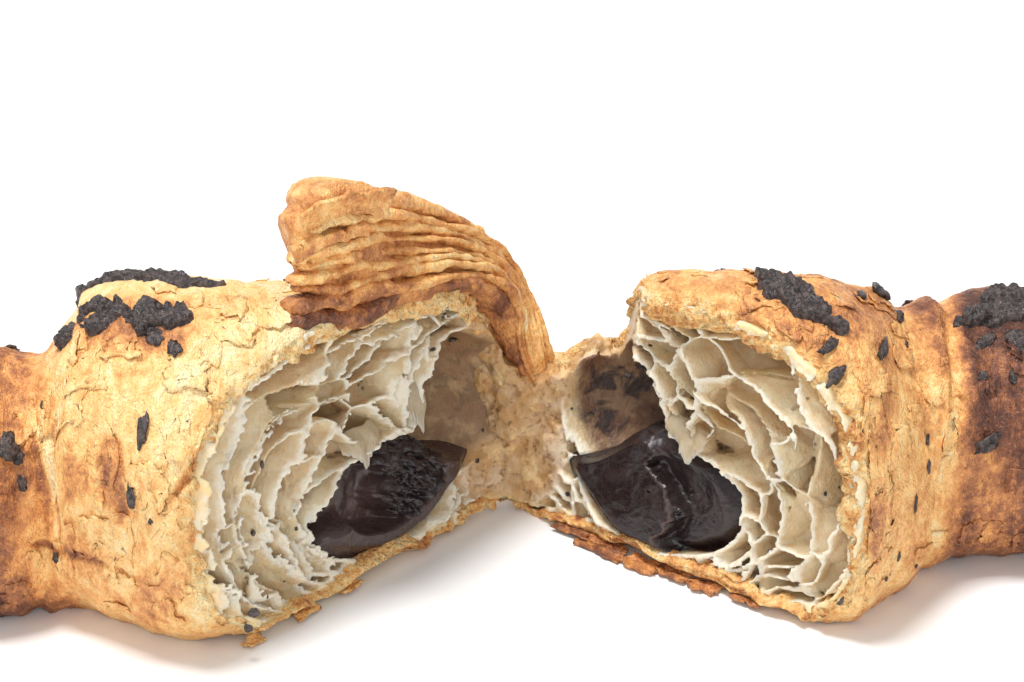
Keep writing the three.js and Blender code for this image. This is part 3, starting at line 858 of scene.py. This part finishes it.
# chips on the crust: place along X, around in degrees, half sizes along X, around and out, turn in degrees
CHIPS = [
    (-47.3, 31, 0.8, 1.8, 0.7, -8), (-66.8, 41, 1.3, 1.8, 0.8, 0), (-65.6, 35, 0.7, 1.0, 0.5, 10),
    (-65.0, 22, 0.6, 1.2, 0.4, 8), (-48.9, 10, 0.5, 1.6, 0.35, 8), (-60.9, -9, 0.5, 0.8, 0.4, 0),
    (-62.6, 53, 0.4, 0.5, 0.3, 0), (-46.6, 66, 1.6, 1.5, 0.4, 30), (-44.0, 62, 0.9, 1.5, 0.35, 10),
    (-46.5, 3, 0.4, 0.5, 0.25, 0), (-34.0, -24, 0.6, 1.0, 0.3, 0), (-35.0, -37, 0.6, 0.9, 0.3, 0),
    (-57, 120, 1.4, 1.8, 0.8, 20), (-40, 140, 1.1, 1.6, 0.7, 50), (-70, 118, 1.2, 1.5, 0.7, 0),
    (-30, 118, 1.5, 1.1, 0.6, 0), (30, 125, 1.6, 1.2, 0.7, 20), (58, 130, 1.2, 1.5, 0.7, 0),
    (75, 128, 1.3, 1.7, 0.7, 60), (42, 150, 0.9, 1.3, 0.5, 0), (85, 92, 1.1, 1.3, 0.6, 10),
    (50.5, 103, 1.9, 2.3, 1.3, 20), (48.0, 97, 1.5, 1.7, 1.0, 0), (53.4, 92, 1.2, 1.5, 0.9, 10),
    (49.2, 62, 1.0, 1.8, 0.8, -30), (41.7, 61, 0.8, 2.2, 0.7, -40), (42.3, 49, 0.9, 1.9, 0.6, -35),
    (65.8, 65, 1.9, 0.9, 0.7, 12), (70.6, 62, 1.5, 1.7, 1.0, 0), (65.7, 15, 1.9, 1.1, 1.0, 25),
    (54.0, 72, 0.5, 0.7, 0.3, 0), (65.0, 46, 0.8, 0.5, 0.25, 20), (69.5, 43, 0.5, 0.8, 0.25, 0),
    (55.9, 23, 0.4, 0.9, 0.25, 0), (55.9, 11, 0.35, 1.0, 0.25, 0), (54.2, -1, 0.35, 1.5, 0.2, 0),
    (52.4, -20, 0.35, 0.8, 0.2, -20), (54.9, -30, 0.4, 0.5, 0.2, -20), (50.0, -26, 0.35, 0.5, 0.2, 0),
    (43.8, -29, 0.4, 0.9, 0.2, -30), (36, 101, 1.6, 1.8, 0.9, 0), (78, 66, 1.0, 1.4, 0.7, 30),
]
# specks in the torn faces: p, q, and half sizes along p, q and out
SPECKS = {
    "left": [
        (49, 25.2, 0.35, 0.9, 0.3), (45.4, 20.6, 0.4, 0.45, 0.35), (50.1, 15.1, 0.5, 0.6, 0.35),
        (42.4, 12.7, 0.35, 0.4, 0.3), (5.1, 8.9, 0.5, 0.5, 0.4), (13.5, 29.4, 0.8, 0.35, 0.5),
        (5.5, 27.5, 1.6, 0.5, 0.6), (10.5, 28.6, 1.4, 0.4, 0.5), (13.6, 22.5, 0.6, 2.2, 0.5),
        (11.6, 18.2, 0.8, 1.2, 0.5), (23.8, 39.5, 0.7, 0.5, 0.4), (-0.5, 24, 0.4, 0.4, 0.3),
        (7.8, 36.4, 0.5, 0.35, 0.3), (2.5, 12.5, 0.3, 0.5, 0.3), (49.5, 5.5, 0.5, 0.4, 0.4),
    ],
    "right": [
        (54.6, 19.1, 0.35, 0.6, 0.3), (51.3, 25.3, 0.3, 0.5, 0.3), (24.0, 28.6, 1.1, 0.6, 0.6),
        (19.5, 25.5, 1.8, 0.5, 0.7), (16.5, 23.5, 1.0, 0.45, 0.5), (9.5, 17.5, 0.5, 0.3, 0.3),
        (11.0, 5.0, 0.6, 0.4, 0.3), (31.5, 1.7, 0.9, 0.3, 0.3), (38.5, 2.2, 0.6, 0.3, 0.3),
        (47.5, 8.5, 0.25, 0.7, 0.3),
    ],
}
SPECK_DEEPEST = 8.0
# bits on the flap's back edge: share of its length, height in the flap, and half size
FLAP_BITS = [(0.74, 1.0, 1.1), (0.62, 1.02, 0.8), (0.585, 1.05, 1.0), (0.5, 1.05, 1.0), (0.84, 0.98, 0.8)]


def turned(axis_a, axis_b, normal, degrees, sizes):
    """Three half axes of a lump that lies in the plane of the first two, turned in it."""
    c, s = math.cos(math.radians(degrees)), math.sin(math.radians(degrees))
    a = axis_a / np.linalg.norm(axis_a)
    b = axis_b / np.linalg.norm(axis_b)
    return [(a * c + b * s) * sizes[0], (b * c - a * s) * sizes[1], normal * sizes[2]]


def chips():
    parts = []
    for seed, (x, degrees, half_x, half_round, out, turn) in enumerate(CHIPS):
        spot, around = np.array([float(x)]), np.array([math.radians(degrees)])
        out = out * 0.65
        centre = crust_surface(spot, around, out * 0.2)[0]
        along_x = (crust_point(spot + 0.5, around) - crust_point(spot - 0.5, around))[0]
        round_it = (crust_point(spot, around + 0.02) - crust_point(spot, around - 0.02))[0]
        axes = turned(along_x, round_it, crust_normal(spot, around)[0], turn, (half_x, half_round, out))
        parts.append((*lump(centre, axes, seed, 0.75, 13, 20), 0.0))
    for face in (LEFT, RIGHT):
        sign = 1 if face.side == "right" else -1
        for seed, (p, q, half_p, half_q, out) in enumerate(SPECKS[face.side]):
            depth = min(front_depth(face, p, q), SPECK_DEEPEST)
            centre = face.place(np.array([p]), np.array([q]), np.array([depth]))[0]
            sizes = 0.75 * np.array([half_p, half_q, out])
            axes = [np.array([*face.out, 0]) * sizes[0], np.array([0, 0, sizes[1]])]
            axes.append(np.array([*face.into, 0]) * -sizes[2] * sign)
            parts.append((*lump(centre, axes, 60 + seed, 0.35, 7, 10), 0.0))
    for seed, (u, v, size) in enumerate(FLAP_BITS):
        middle, high, wide, half, deep = (a[0] for a in flap_frame(np.array([u])))
        centre = middle + high * half * v - wide * deep * 0.3
        forward = np.cross(wide, high)
        axes = [wide * size, forward * size * 1.2, high * size * 0.8]
        parts.append((*lump(centre, axes, 90 + seed, 0.2), 0.0))
    points, faces, _ = joined(parts)
    mesh_object("chips", points, [faces], "baked_chocolate")


# ---- loose flakes of crust that still hang on ----

# larger flakes: place along X, around, half sizes, lift, and the way it lifts
FLAKES = [
    (-56.5, 52, 3.4, 3.2, 0.4, 250), (-58, 40, 3.0, 3.4, 0.4, 230), (-51, 60, 3.5, 2.0, 0.4, 280),
    (-52.5, 22, 2.2, 4.0, 0.5, 200), (-45, 6, 3.0, 2.2, 0.4, 300), (-54, -4, 4.0, 2.4, 0.4, 90),
    (-42, 52, 4.0, 3.0, 0.4, 320), (-36, 70, 3.6, 2.6, 0.6, 20), (-30, 84, 3.2, 2.4, 0.8, 10),
    (-43, 30, 2.6, 3.6, 0.4, 340), (-46, 14, 2.4, 3.0, 0.4, 300), (-44, -12, 2.8, 3.0, 0.4, 320),
    (48.5, 16, 2.0, 5.5, 0.3, 180), (49, -2, 2.2, 4.5, 0.3, 190), (47.5, 32, 2.4, 4.0, 0.3, 160),
    (49.5, -20, 2.2, 3.5, 0.3, 200), (51, 22, 2.4, 3.4, 0.3, 30), (48, 46, 3.0, 2.2, 0.4, 270),
    (46, -32, 2.6, 2.4, 0.6, 200), (35, 84, 3.0, 2.0, 0.3, 180),
]
SMALL_FLAKES = 110
FIRST_SMALL = 100  # the seed of the first small flake
# brown flakes at the foot of each torn face: p, how far out, half sizes, height, and tone
FOOT_FLAKES = {
    "left": [
        (53, -0.6, 1.6, 0.9, 0.5, 0.36), (43, -0.3, 2.0, 0.8, 0.7, 0.45), (34, -0.3, 1.8, 0.8, 0.8, 0.45),
    ],
    "right": [
        (14, 0.5, 3.4, 1.3, 0.9, 0.8), (20, 1.1, 3.8, 1.8, 0.5, 0.78), (27, 1.2, 2.8, 1.6, 0.4, 0.72),
        (32, 0.4, 3.0, 1.2, 0.7, 0.76), (38, 0.6, 2.2, 1.3, 0.5, 0.7), (45, 0.0, 2.2, 0.8, 0.7, 0.66),
    ],
}


def flakes():
    random = np.random.default_rng(31)
    parts = []

    def flake(x, degrees, half_x, half_round, lift_by, way, seed):
        steps = np.linspace(-1, 1, 14 if seed < FIRST_SMALL else 7)
        u, v = np.meshgrid(steps, steps, indexing="ij")
        spot = np.stack([u * 1.3 + seed * 7.1, v * 1.3, 0 * u], -1)
        u2 = u + 0.5 * layered(spot, 0.9, 3, 3, 0.65)
        v2 = v + 0.5 * layered(spot + 50, 0.9, 3, 4, 0.65)
        px = x + half_x * u2
        pa = math.radians(degrees) + half_round / USUAL_RADIUS * v2
        left = x < TEAR_MIDDLE
        edge = np.interp(pa, *cuts["left" if left else "right"], period=2 * np.pi)
        px = np.minimum(px, edge - 1.2) if left else np.maximum(px, edge + 1.2)
        raised = smooth(-0.4, 1.3, u * math.cos(way) + v * math.sin(way)) ** 1.5
        out = 0.1 + lift_by * raised * (1 + 0.5 * layered(spot, 0.9, 2, 5))
        out = out - CURL * np.exp(-np.abs(px - edge) / CURL_REACH)
        grid = crust_surface(px, pa, out)
        grid[..., 2] = np.maximum(grid[..., 2], 0.15)
        points, faces = thick_sheet(grid, 0.16)
        tone = crust_relief(crust_point(px, pa), px, pa)[1] - 0.05
        parts.append((points, faces, np.stack([tone, tone])))

    for seed, (x, degrees, half_x, half_round, lift_by, way) in enumerate(FLAKES):
        flake(x, degrees, half_x * 0.7, half_round * 0.8, lift_by * 0.7, math.radians(way), seed)
    for n in range(SMALL_FLAKES):
        degrees = random.uniform(-35, 160)
        around, cut = cuts["left" if n % 2 else "right"]
        start = np.interp(math.radians(degrees), around, cut, period=2 * np.pi)
        x = start + random.uniform(1, 34) * (-1 if n % 2 else 1)
        size = random.uniform(0.5, 1.7)
        flake(x, degrees, size, size * random.uniform(0.7, 2.2), random.uniform(0.1, 0.5),
              random.uniform(0, 2 * np.pi), FIRST_SMALL + n)
    for face in (LEFT, RIGHT):
        for seed, (p, out, half_p, half_out, high, tone) in enumerate(FOOT_FLAKES[face.side]):
            u, v = np.meshgrid(np.linspace(-1, 1, 15), np.linspace(-1, 1, 11), indexing="ij")
            spot = np.stack([u * 1.6 + seed * 5.3, v * 1.6, 0 * u], -1)
            along_p = p + half_p * (u + 0.35 * layered(spot, 1.0, 3, 14))
            depth = -out + half_out * (v + 0.45 * layered(spot + 30, 0.8, 3, 15))
            height = high + 0.35 * layered(spot, 1.2, 3, 16) + 0.25 * smooth(0.2, 1.0, v)
            grid = face.place(along_p, np.maximum(height, 0.2), depth)
            points, faces = thick_sheet(grid, 0.3)
            parts.append((points, faces, tone + 0.1 * layered(points, 2.5, 2, 6)))
    points, faces, tones = joined(parts)
    mesh_object("flakes", points, [faces], "crust", {"tone": tones})


# ---- silky membranes that hang over the filling ----

# each has its upper edge and its lower edge as rows of p, q and depth
MEMBRANES = {
    "left": [
        ([(33, 22.0, 2.6), (31, 22.6, 2.4), (29.6, 22.8, 2.2),
          (28.4, 22.8, 2.2), (27.3, 22.8, 2.3), (25.6, 22.6, 2.6)],
         [(33, 20.2, 1.9), (31, 19.2, 1.4), (29.6, 18.2, 1.0),
          (28.4, 16.6, 0.8), (27.4, 18.4, 1.0), (25.8, 20.2, 1.8)]),
        ([(19.6, 25.6, 2.4), (18.4, 26.2, 2.0), (17.2, 26.2, 2.0), (16, 26, 2.4)],
         [(19.4, 21.2, 1.7), (18.2, 19.8, 1.3), (17.2, 18.3, 1.0), (16.4, 20.8, 1.7)]),
    ],
    "right": [
        ([(29, 23.5, 2.6), (31, 23, 2.4), (32.4, 22.8, 2.2),
          (33.4, 22.6, 2.2), (34.4, 22.4, 2.3), (36, 22, 2.6)],
         [(29, 21.2, 1.9), (31, 20.0, 1.4), (32.4, 18.9, 1.0),
          (33.4, 17.6, 0.9), (34.4, 18.8, 1.1), (35.8, 20.2, 1.8)]),
    ],
}


def membranes():
    parts = []
    for face in (LEFT, RIGHT):
        for seed, (upper, lower) in enumerate(MEMBRANES[face.side]):
            t = np.linspace(0, 1, 64)
            top, foot = (path(edge, t * (len(edge) - 1)) for edge in (upper, lower))
            spot = np.stack([t * 9, 0 * t + seed * 3.1, 0 * t], -1)
            v = np.linspace(0, 1, 26)[None, :, None]
            reach = (1 + 0.1 * layered(spot, 0.5, 3, 701))[:, None, None]
            top[:, 2] += 1.3
            grid = top[:, None] + (foot - top)[:, None] * v * reach
            sag = 0.7 * np.sin(v[..., 0] * np.pi)
            grid[..., 2] -= sag + 0.8 * layered(grid * np.array([1, 0.4, 1]), 3, 2, 711)
            grid[..., 0] += 0.4 * layered(grid, 4, 2, 721) * v[..., 0]
            points, faces = thick_sheet(face.place(*np.moveaxis(grid, -1, 0)), 0.2)
            tone = np.broadcast_to(v[..., 0] * reach[..., 0], grid.shape[:2])
            parts.append((points, faces, np.stack([tone, tone])))
    points, faces, tones = joined(parts)
    none = np.zeros(len(points))
    # edge whitens the membranes' lower edges as a painted highlight
    values = {"rim": none + 9, "inner": none + 5, "edge": 3 * (1 - tones), "depth": none, "dense": none}
    # the membranes are darkened with painted shade from the hollow behind them
    values["sheer_painted_shade"] = none + 1
    mesh_object("membranes", points, [faces], "crumb", values)


# ---- materials ----

def colour(red, green, blue):
    """A colour as seen on a screen, from 0 to 255, made linear."""
    linear = [((v / 255 + 0.055) / 1.055) ** 2.4 if v > 10 else v / 255 / 12.92 for v in (red, green, blue)]
    return (*linear, 1.0)


# the crust's colour for each tone, from cream to dark brown
CRUST_COLOURS = [
    (0.0, colour(255, 232, 180)), (0.2, colour(255, 215, 148)), (0.38, colour(251, 194, 120)),
    (0.56, colour(226, 154, 88)), (0.74, colour(178, 114, 70)), (0.92, colour(128, 76, 50)),
    (1.1, colour(82, 46, 33)),
]


class Look:
    """A material, and short forms for its nodes."""

    def __init__(self, name):
        self.material = bpy.data.materials.new(name)
        self.material.use_nodes = True
        self.tree = self.material.node_tree
        self.tree.nodes.clear()
        out = self.tree.nodes.new("ShaderNodeOutputMaterial")
        self.shader = self.tree.nodes.new("ShaderNodeBsdfPrincipled")
        self.set(out.inputs["Surface"], self.shader.outputs["BSDF"])

    def set(self, socket, value):
        """Link a socket to another one, or give it a number or a colour."""
        if isinstance(value, bpy.types.NodeSocket):
            self.tree.links.new(value, socket)
        else:
            socket.default_value = value

    def node(self, kind, inputs, **settings):
        """A new node, whose inputs are set by name or by number."""
        node = self.tree.nodes.new(kind)
        for key, value in settings.items():
            setattr(node, key, value)
        for key, value in inputs.items():
            self.set(node.inputs[key], value)
        return node

    def finished(self, inputs):
        """The material, once the inputs of its surface are set."""
        for key, value in inputs.items():
            self.set(self.shader.inputs[key], value)
        return self.material

    def attribute(self, name):
        return self.node("ShaderNodeAttribute", {}, attribute_name=name).outputs["Fac"]

    def place(self):
        return self.node("ShaderNodeTexCoord", {}).outputs["Object"]

    def stretch(self, vector, scale, turn=(0, 0, 0)):
        inputs = {"Vector": vector, "Scale": scale, "Rotation": turn}
        return self.node("ShaderNodeMapping", inputs).outputs["Vector"]

    def noise(self, vector, scale, detail, rough, warp=0.0):
        inputs = {"Vector": vector, "Scale": scale, "Detail": detail, "Roughness": rough, "Distortion": warp}
        return self.node("ShaderNodeTexNoise", inputs).outputs["Fac"]

    def math(self, kind, a, b=0.0):
        return self.node("ShaderNodeMath", {0: a, 1: b}, operation=kind).outputs[0]

    def times(self, a, b):
        return self.math("MULTIPLY", a, b)

    def total(self, first, *others):
        """The sum of values; a pair stands for its product."""
        for value in others:
            if isinstance(value, tuple):
                value = self.times(*value)
            first = self.math("ADD", first, value)
        return first

    def span(self, value, low, high, to_low=0.0, to_high=1.0):
        inputs = {"Value": value, "From Min": low, "From Max": high, "To Min": to_low, "To Max": to_high}
        return self.node("ShaderNodeMapRange", inputs, interpolation_type="SMOOTHSTEP").outputs["Result"]

    def mix(self, factor, a, b):
        inputs = {"Factor": factor, "A": a, "B": b}
        return self.node("ShaderNodeMix", inputs, data_type="RGBA").outputs["Result"]

    def ramp(self, value, stops):
        first, last = stops[0][0], stops[-1][0]
        node = self.node("ShaderNodeValToRGB", {"Fac": self.math("DIVIDE", value, last - first)})
        marks = node.color_ramp.elements
        while len(marks) < len(stops):
            marks.new(0.5)
        for mark, (place, tint) in zip(marks, stops):
            mark.position = (place - first) / (last - first)
            mark.color = tint
        return node.outputs["Color"]

    def terraces(self, ground, count):
        """Steps cut from a noise: their height in steps, a shade for each, and its edges."""
        levels = self.times(ground, count)
        number = self.math("FLOOR", levels)
        part = self.math("FRACT", levels)
        random = self.node("ShaderNodeTexWhiteNoise", {"W": number}, noise_dimensions="1D")
        shade = self.math("SUBTRACT", random.outputs["Value"], 0.5)
        return self.total(number, self.span(part, 0.0, 0.2)), shade, self.span(part, 0.05, 0.3, 1.0, 0.0)

    def bump(self, height, distance, strength):
        inputs = {"Height": height, "Distance": distance, "Strength": strength}
        return self.node("ShaderNodeBump", inputs).outputs["Normal"]


def crust_material():
    look = Look("baked_crust")
    at = look.place()
    rings = look.noise(look.stretch(at, (1.0, 0.2, 0.2)), 430, 3, 0.6)
    fine = look.noise(at, 1100, 3, 0.7)
    flaky = look.noise(at, 330, 4, 0.6, 0.4)
    specks = look.noise(at, 2200, 2, 0.5)
    # thin leaves of crust, each a little different in colour, with pale edges
    leafy = look.stretch(at, (1.2, 0.7, 0.7))
    wide_height, wide_shade, wide_edge = look.terraces(look.noise(leafy, 170, 4, 0.64, 0.3), 15)
    small_height, small_shade, small_edge = look.terraces(look.noise(leafy, 520, 3, 0.62), 8)
    crumbly = look.attribute("crumbly")
    tone = look.total(
        look.attribute("tone"), look.span(flaky, 0.3, 0.7, -0.08, 0.08),
        look.span(rings, 0.3, 0.7, -0.06, 0.06), look.span(fine, 0.35, 0.65, -0.05, 0.05),
        (wide_shade, 0.16), (small_shade, 0.12), (wide_edge, -0.1), (small_edge, -0.05),
        look.span(specks, 0.62, 0.72, 0.0, -0.14), (crumbly, look.span(fine, 0.3, 0.7, 0.22, -0.22)),
    )
    relief = look.total(
        look.times(rings, 0.3), (fine, 0.6), (flaky, 0.6), (wide_height, 0.14), (small_height, 0.1),
        (look.times(fine, crumbly), 0.8),
    )
    return look.finished({
        "Base Color": look.ramp(tone, CRUST_COLOURS),
        "Roughness": look.total(look.span(flaky, 0.35, 0.65, 0.3, 0.55), (crumbly, 0.3)),
        "Normal": look.bump(relief, 0.0009, 1.0),
    })


def crumb_material():
    look = Look("crumb")
    at = look.place()
    mottled = look.noise(at, 220, 4, 0.6)
    fibres = look.noise(look.stretch(at, (1, 0.7, 0.6), (0.5, 0.7, 0.3)), 1100, 4, 0.62, 0.4)
    stains = look.noise(at, 260, 4, 0.6, 0.5)
    grains = look.noise(at, 900, 4, 0.65)
    depth = look.attribute("depth")
    # the lining of the tunnel and the hollow: stained by the filling, and darkened with painted shade deep
    # in the hollows
    lining_stain_and_shade = look.times(look.span(look.attribute("inner"), 0.9, 0.4), look.span(depth, 1.0, 3.0))
    dense = look.times(look.attribute("dense"), look.math("SUBTRACT", 1.0, look.times(lining_stain_and_shade, 0.7)))
    by_crust = look.span(look.attribute("rim"), 1.7, 3.6, 1.0, 0.0)
    base = colour(222, 204, 170)
    for factor, tint in (
        (look.span(mottled, 0.35, 0.65), (204, 179, 139)),
        (look.span(grains, 0.5, 0.7, 0.0, 0.3), (226, 172, 108)),
        # painted shade: the deeper a cell lies behind the torn face, the darker and more golden it is
        (look.span(depth, 1.5, 7.0, 0.0, 0.45), (204, 162, 106)),
        # painted highlight: the torn edges of the walls are whitened
        (look.span(look.attribute("edge"), 0.2, 1.0, 0.75, 0.0), (238, 231, 216)),
        # painted shade: the membranes are darkened as if the shaded hollow showed through them
        (look.times(look.attribute("sheer_painted_shade"), 0.5), (140, 124, 106)),
        (look.times(lining_stain_and_shade, look.span(mottled, 0.4, 0.62, 0.98, 0.75)), (108, 70, 44)),
        (look.times(lining_stain_and_shade, look.span(stains, 0.48, 0.62)), (54, 31, 23)),
        (look.times(dense, look.span(stains, 0.38, 0.6, 0.8, 1.0)), (196, 152, 98)),
        (look.times(dense, look.span(grains, 0.52, 0.7, 0.0, 0.8)), (112, 70, 42)),
        (look.times(dense, look.span(mottled, 0.54, 0.64, 0.0, 0.7)), (236, 204, 150)),
        (look.times(by_crust, look.span(mottled, 0.4, 0.6, 0.3, 0.9)), (244, 210, 150)),
    ):
        base = look.mix(factor, base, colour(*tint))
    return look.finished({
        "Base Color": base,
        "Roughness": 0.42,
        "Subsurface Weight": 0.5,
        "Subsurface Radius": (1.0, 0.75, 0.5),
        "Subsurface Scale": 0.0012,
        "Normal": look.bump(look.total(fibres, (grains, 0.8)), 0.0004, 0.8),
    })


def chocolate_material():
    look = Look("chocolate")
    at = look.place()
    film = look.noise(at, 180, 3, 0.55, 0.6)
    base = look.mix(look.span(film, 0.5, 0.7, 0.0, 0.5), colour(37, 26, 28), colour(64, 48, 48))
    return look.finished({
        "Base Color": look.mix(look.times(look.attribute("film"), 0.6), base, colour(108, 84, 78)),
        "Roughness": look.span(film, 0.35, 0.65, 0.16, 0.34),
        "Normal": look.bump(look.noise(at, 1500, 3, 0.6), 0.0003, 0.4),
    })


def baked_chocolate_material():
    look = Look("baked_chocolate")
    at = look.place()
    grains = look.noise(at, 1300, 4, 0.65)
    sugar = look.noise(at, 700, 3, 0.6)
    return look.finished({
        # the lighter grains are partly sugar and partly painted glints
        "Base Color": look.mix(look.span(grains, 0.4, 0.65), colour(38, 31, 32), colour(92, 78, 74)),
        "Roughness": look.span(sugar, 0.46, 0.58, 0.45, 0.14),
        "Normal": look.bump(grains, 0.0005, 0.9),
    })


materials = {
    "crust": crust_material(),
    "crumb": crumb_material(),
    "chocolate": chocolate_material(),
    "baked_chocolate": baked_chocolate_material(),
}

for face in (LEFT, RIGHT):
    crust(face)
    crumb(face)
    filling(face)
for name, sizes in PATCHES.items():
    patch(name, *sizes)
flap()
chips()
flakes()
membranes()

# ---- floor, light and camera: from here on in metres, from the row's origin ----

FLOOR_HALF = 3.0
LIT_PLACE = Vector((0, 0, 0.02))
CAMERA_DISTANCE = 0.3915
CAMERA_RAISED = math.radians(24)
CAMERA_AIM = Vector((-0.0025, 0.0184, 0.0264))
SENSOR_WIDTH = 36.0  # in millimetres, as the lens
PHOTO_WIDTH_PIXELS = 1024
LENS_PIXELS = 2700


def floor():
    mesh = bpy.data.meshes.new("floor")
    corners = [(-1, -1), (1, -1), (1, 1), (-1, 1)]
    mesh.from_pydata([(x * FLOOR_HALF, y * FLOOR_HALF, 0) for x, y in corners], [], [(0, 1, 2, 3)])
    obj = bpy.data.objects.new("floor", mesh)
    bpy.context.scene.collection.objects.link(obj)
    inputs = {"Base Color": (0.93, 0.93, 0.93, 1), "Roughness": 0.6, "Specular IOR Level": 0.2}
    mesh.materials.append(Look("white_floor").finished(inputs))


def lamp(name, place, size, power):
    data = bpy.data.lights.new(name, "AREA")
    data.shape = "DISK"
    data.size = size
    data.energy = power
    obj = bpy.data.objects.new(name, data)
    obj.location = place
    obj.rotation_euler = (LIT_PLACE - Vector(place)).to_track_quat("-Z", "Y").to_euler()
    bpy.context.scene.collection.objects.link(obj)


def camera():
    data = bpy.data.cameras.new("camera")
    data.sensor_width = SENSOR_WIDTH
    data.lens = LENS_PIXELS * SENSOR_WIDTH / PHOTO_WIDTH_PIXELS
    data.clip_start = 0.01
    obj = bpy.data.objects.new("camera", data)
    back = Vector((0, -math.cos(CAMERA_RAISED), math.sin(CAMERA_RAISED)))
    obj.location = CAMERA_AIM + CAMERA_DISTANCE * back
    obj.rotation_euler = (CAMERA_AIM - obj.location).to_track_quat("-Z", "Y").to_euler()
    bpy.context.scene.collection.objects.link(obj)
    bpy.context.scene.camera = obj


floor()
lamp("key", (-0.5, 0.0, 2.6), 0.75, 67)
lamp("fill", (0.5, -2.6, 1.3), 1.8, 18)
lamp("side", (-2.2, -1.2, 1.4), 1.2, 6)
world = bpy.data.worlds.new("studio")
world.use_nodes = True
background = world.node_tree.nodes["Background"]
background.inputs["Color"].default_value = (1, 1, 1, 1)
background.inputs["Strength"].default_value = 0.55
bpy.context.scene.world = world
bpy.context.scene.view_settings.view_transform = "Standard"
camera()
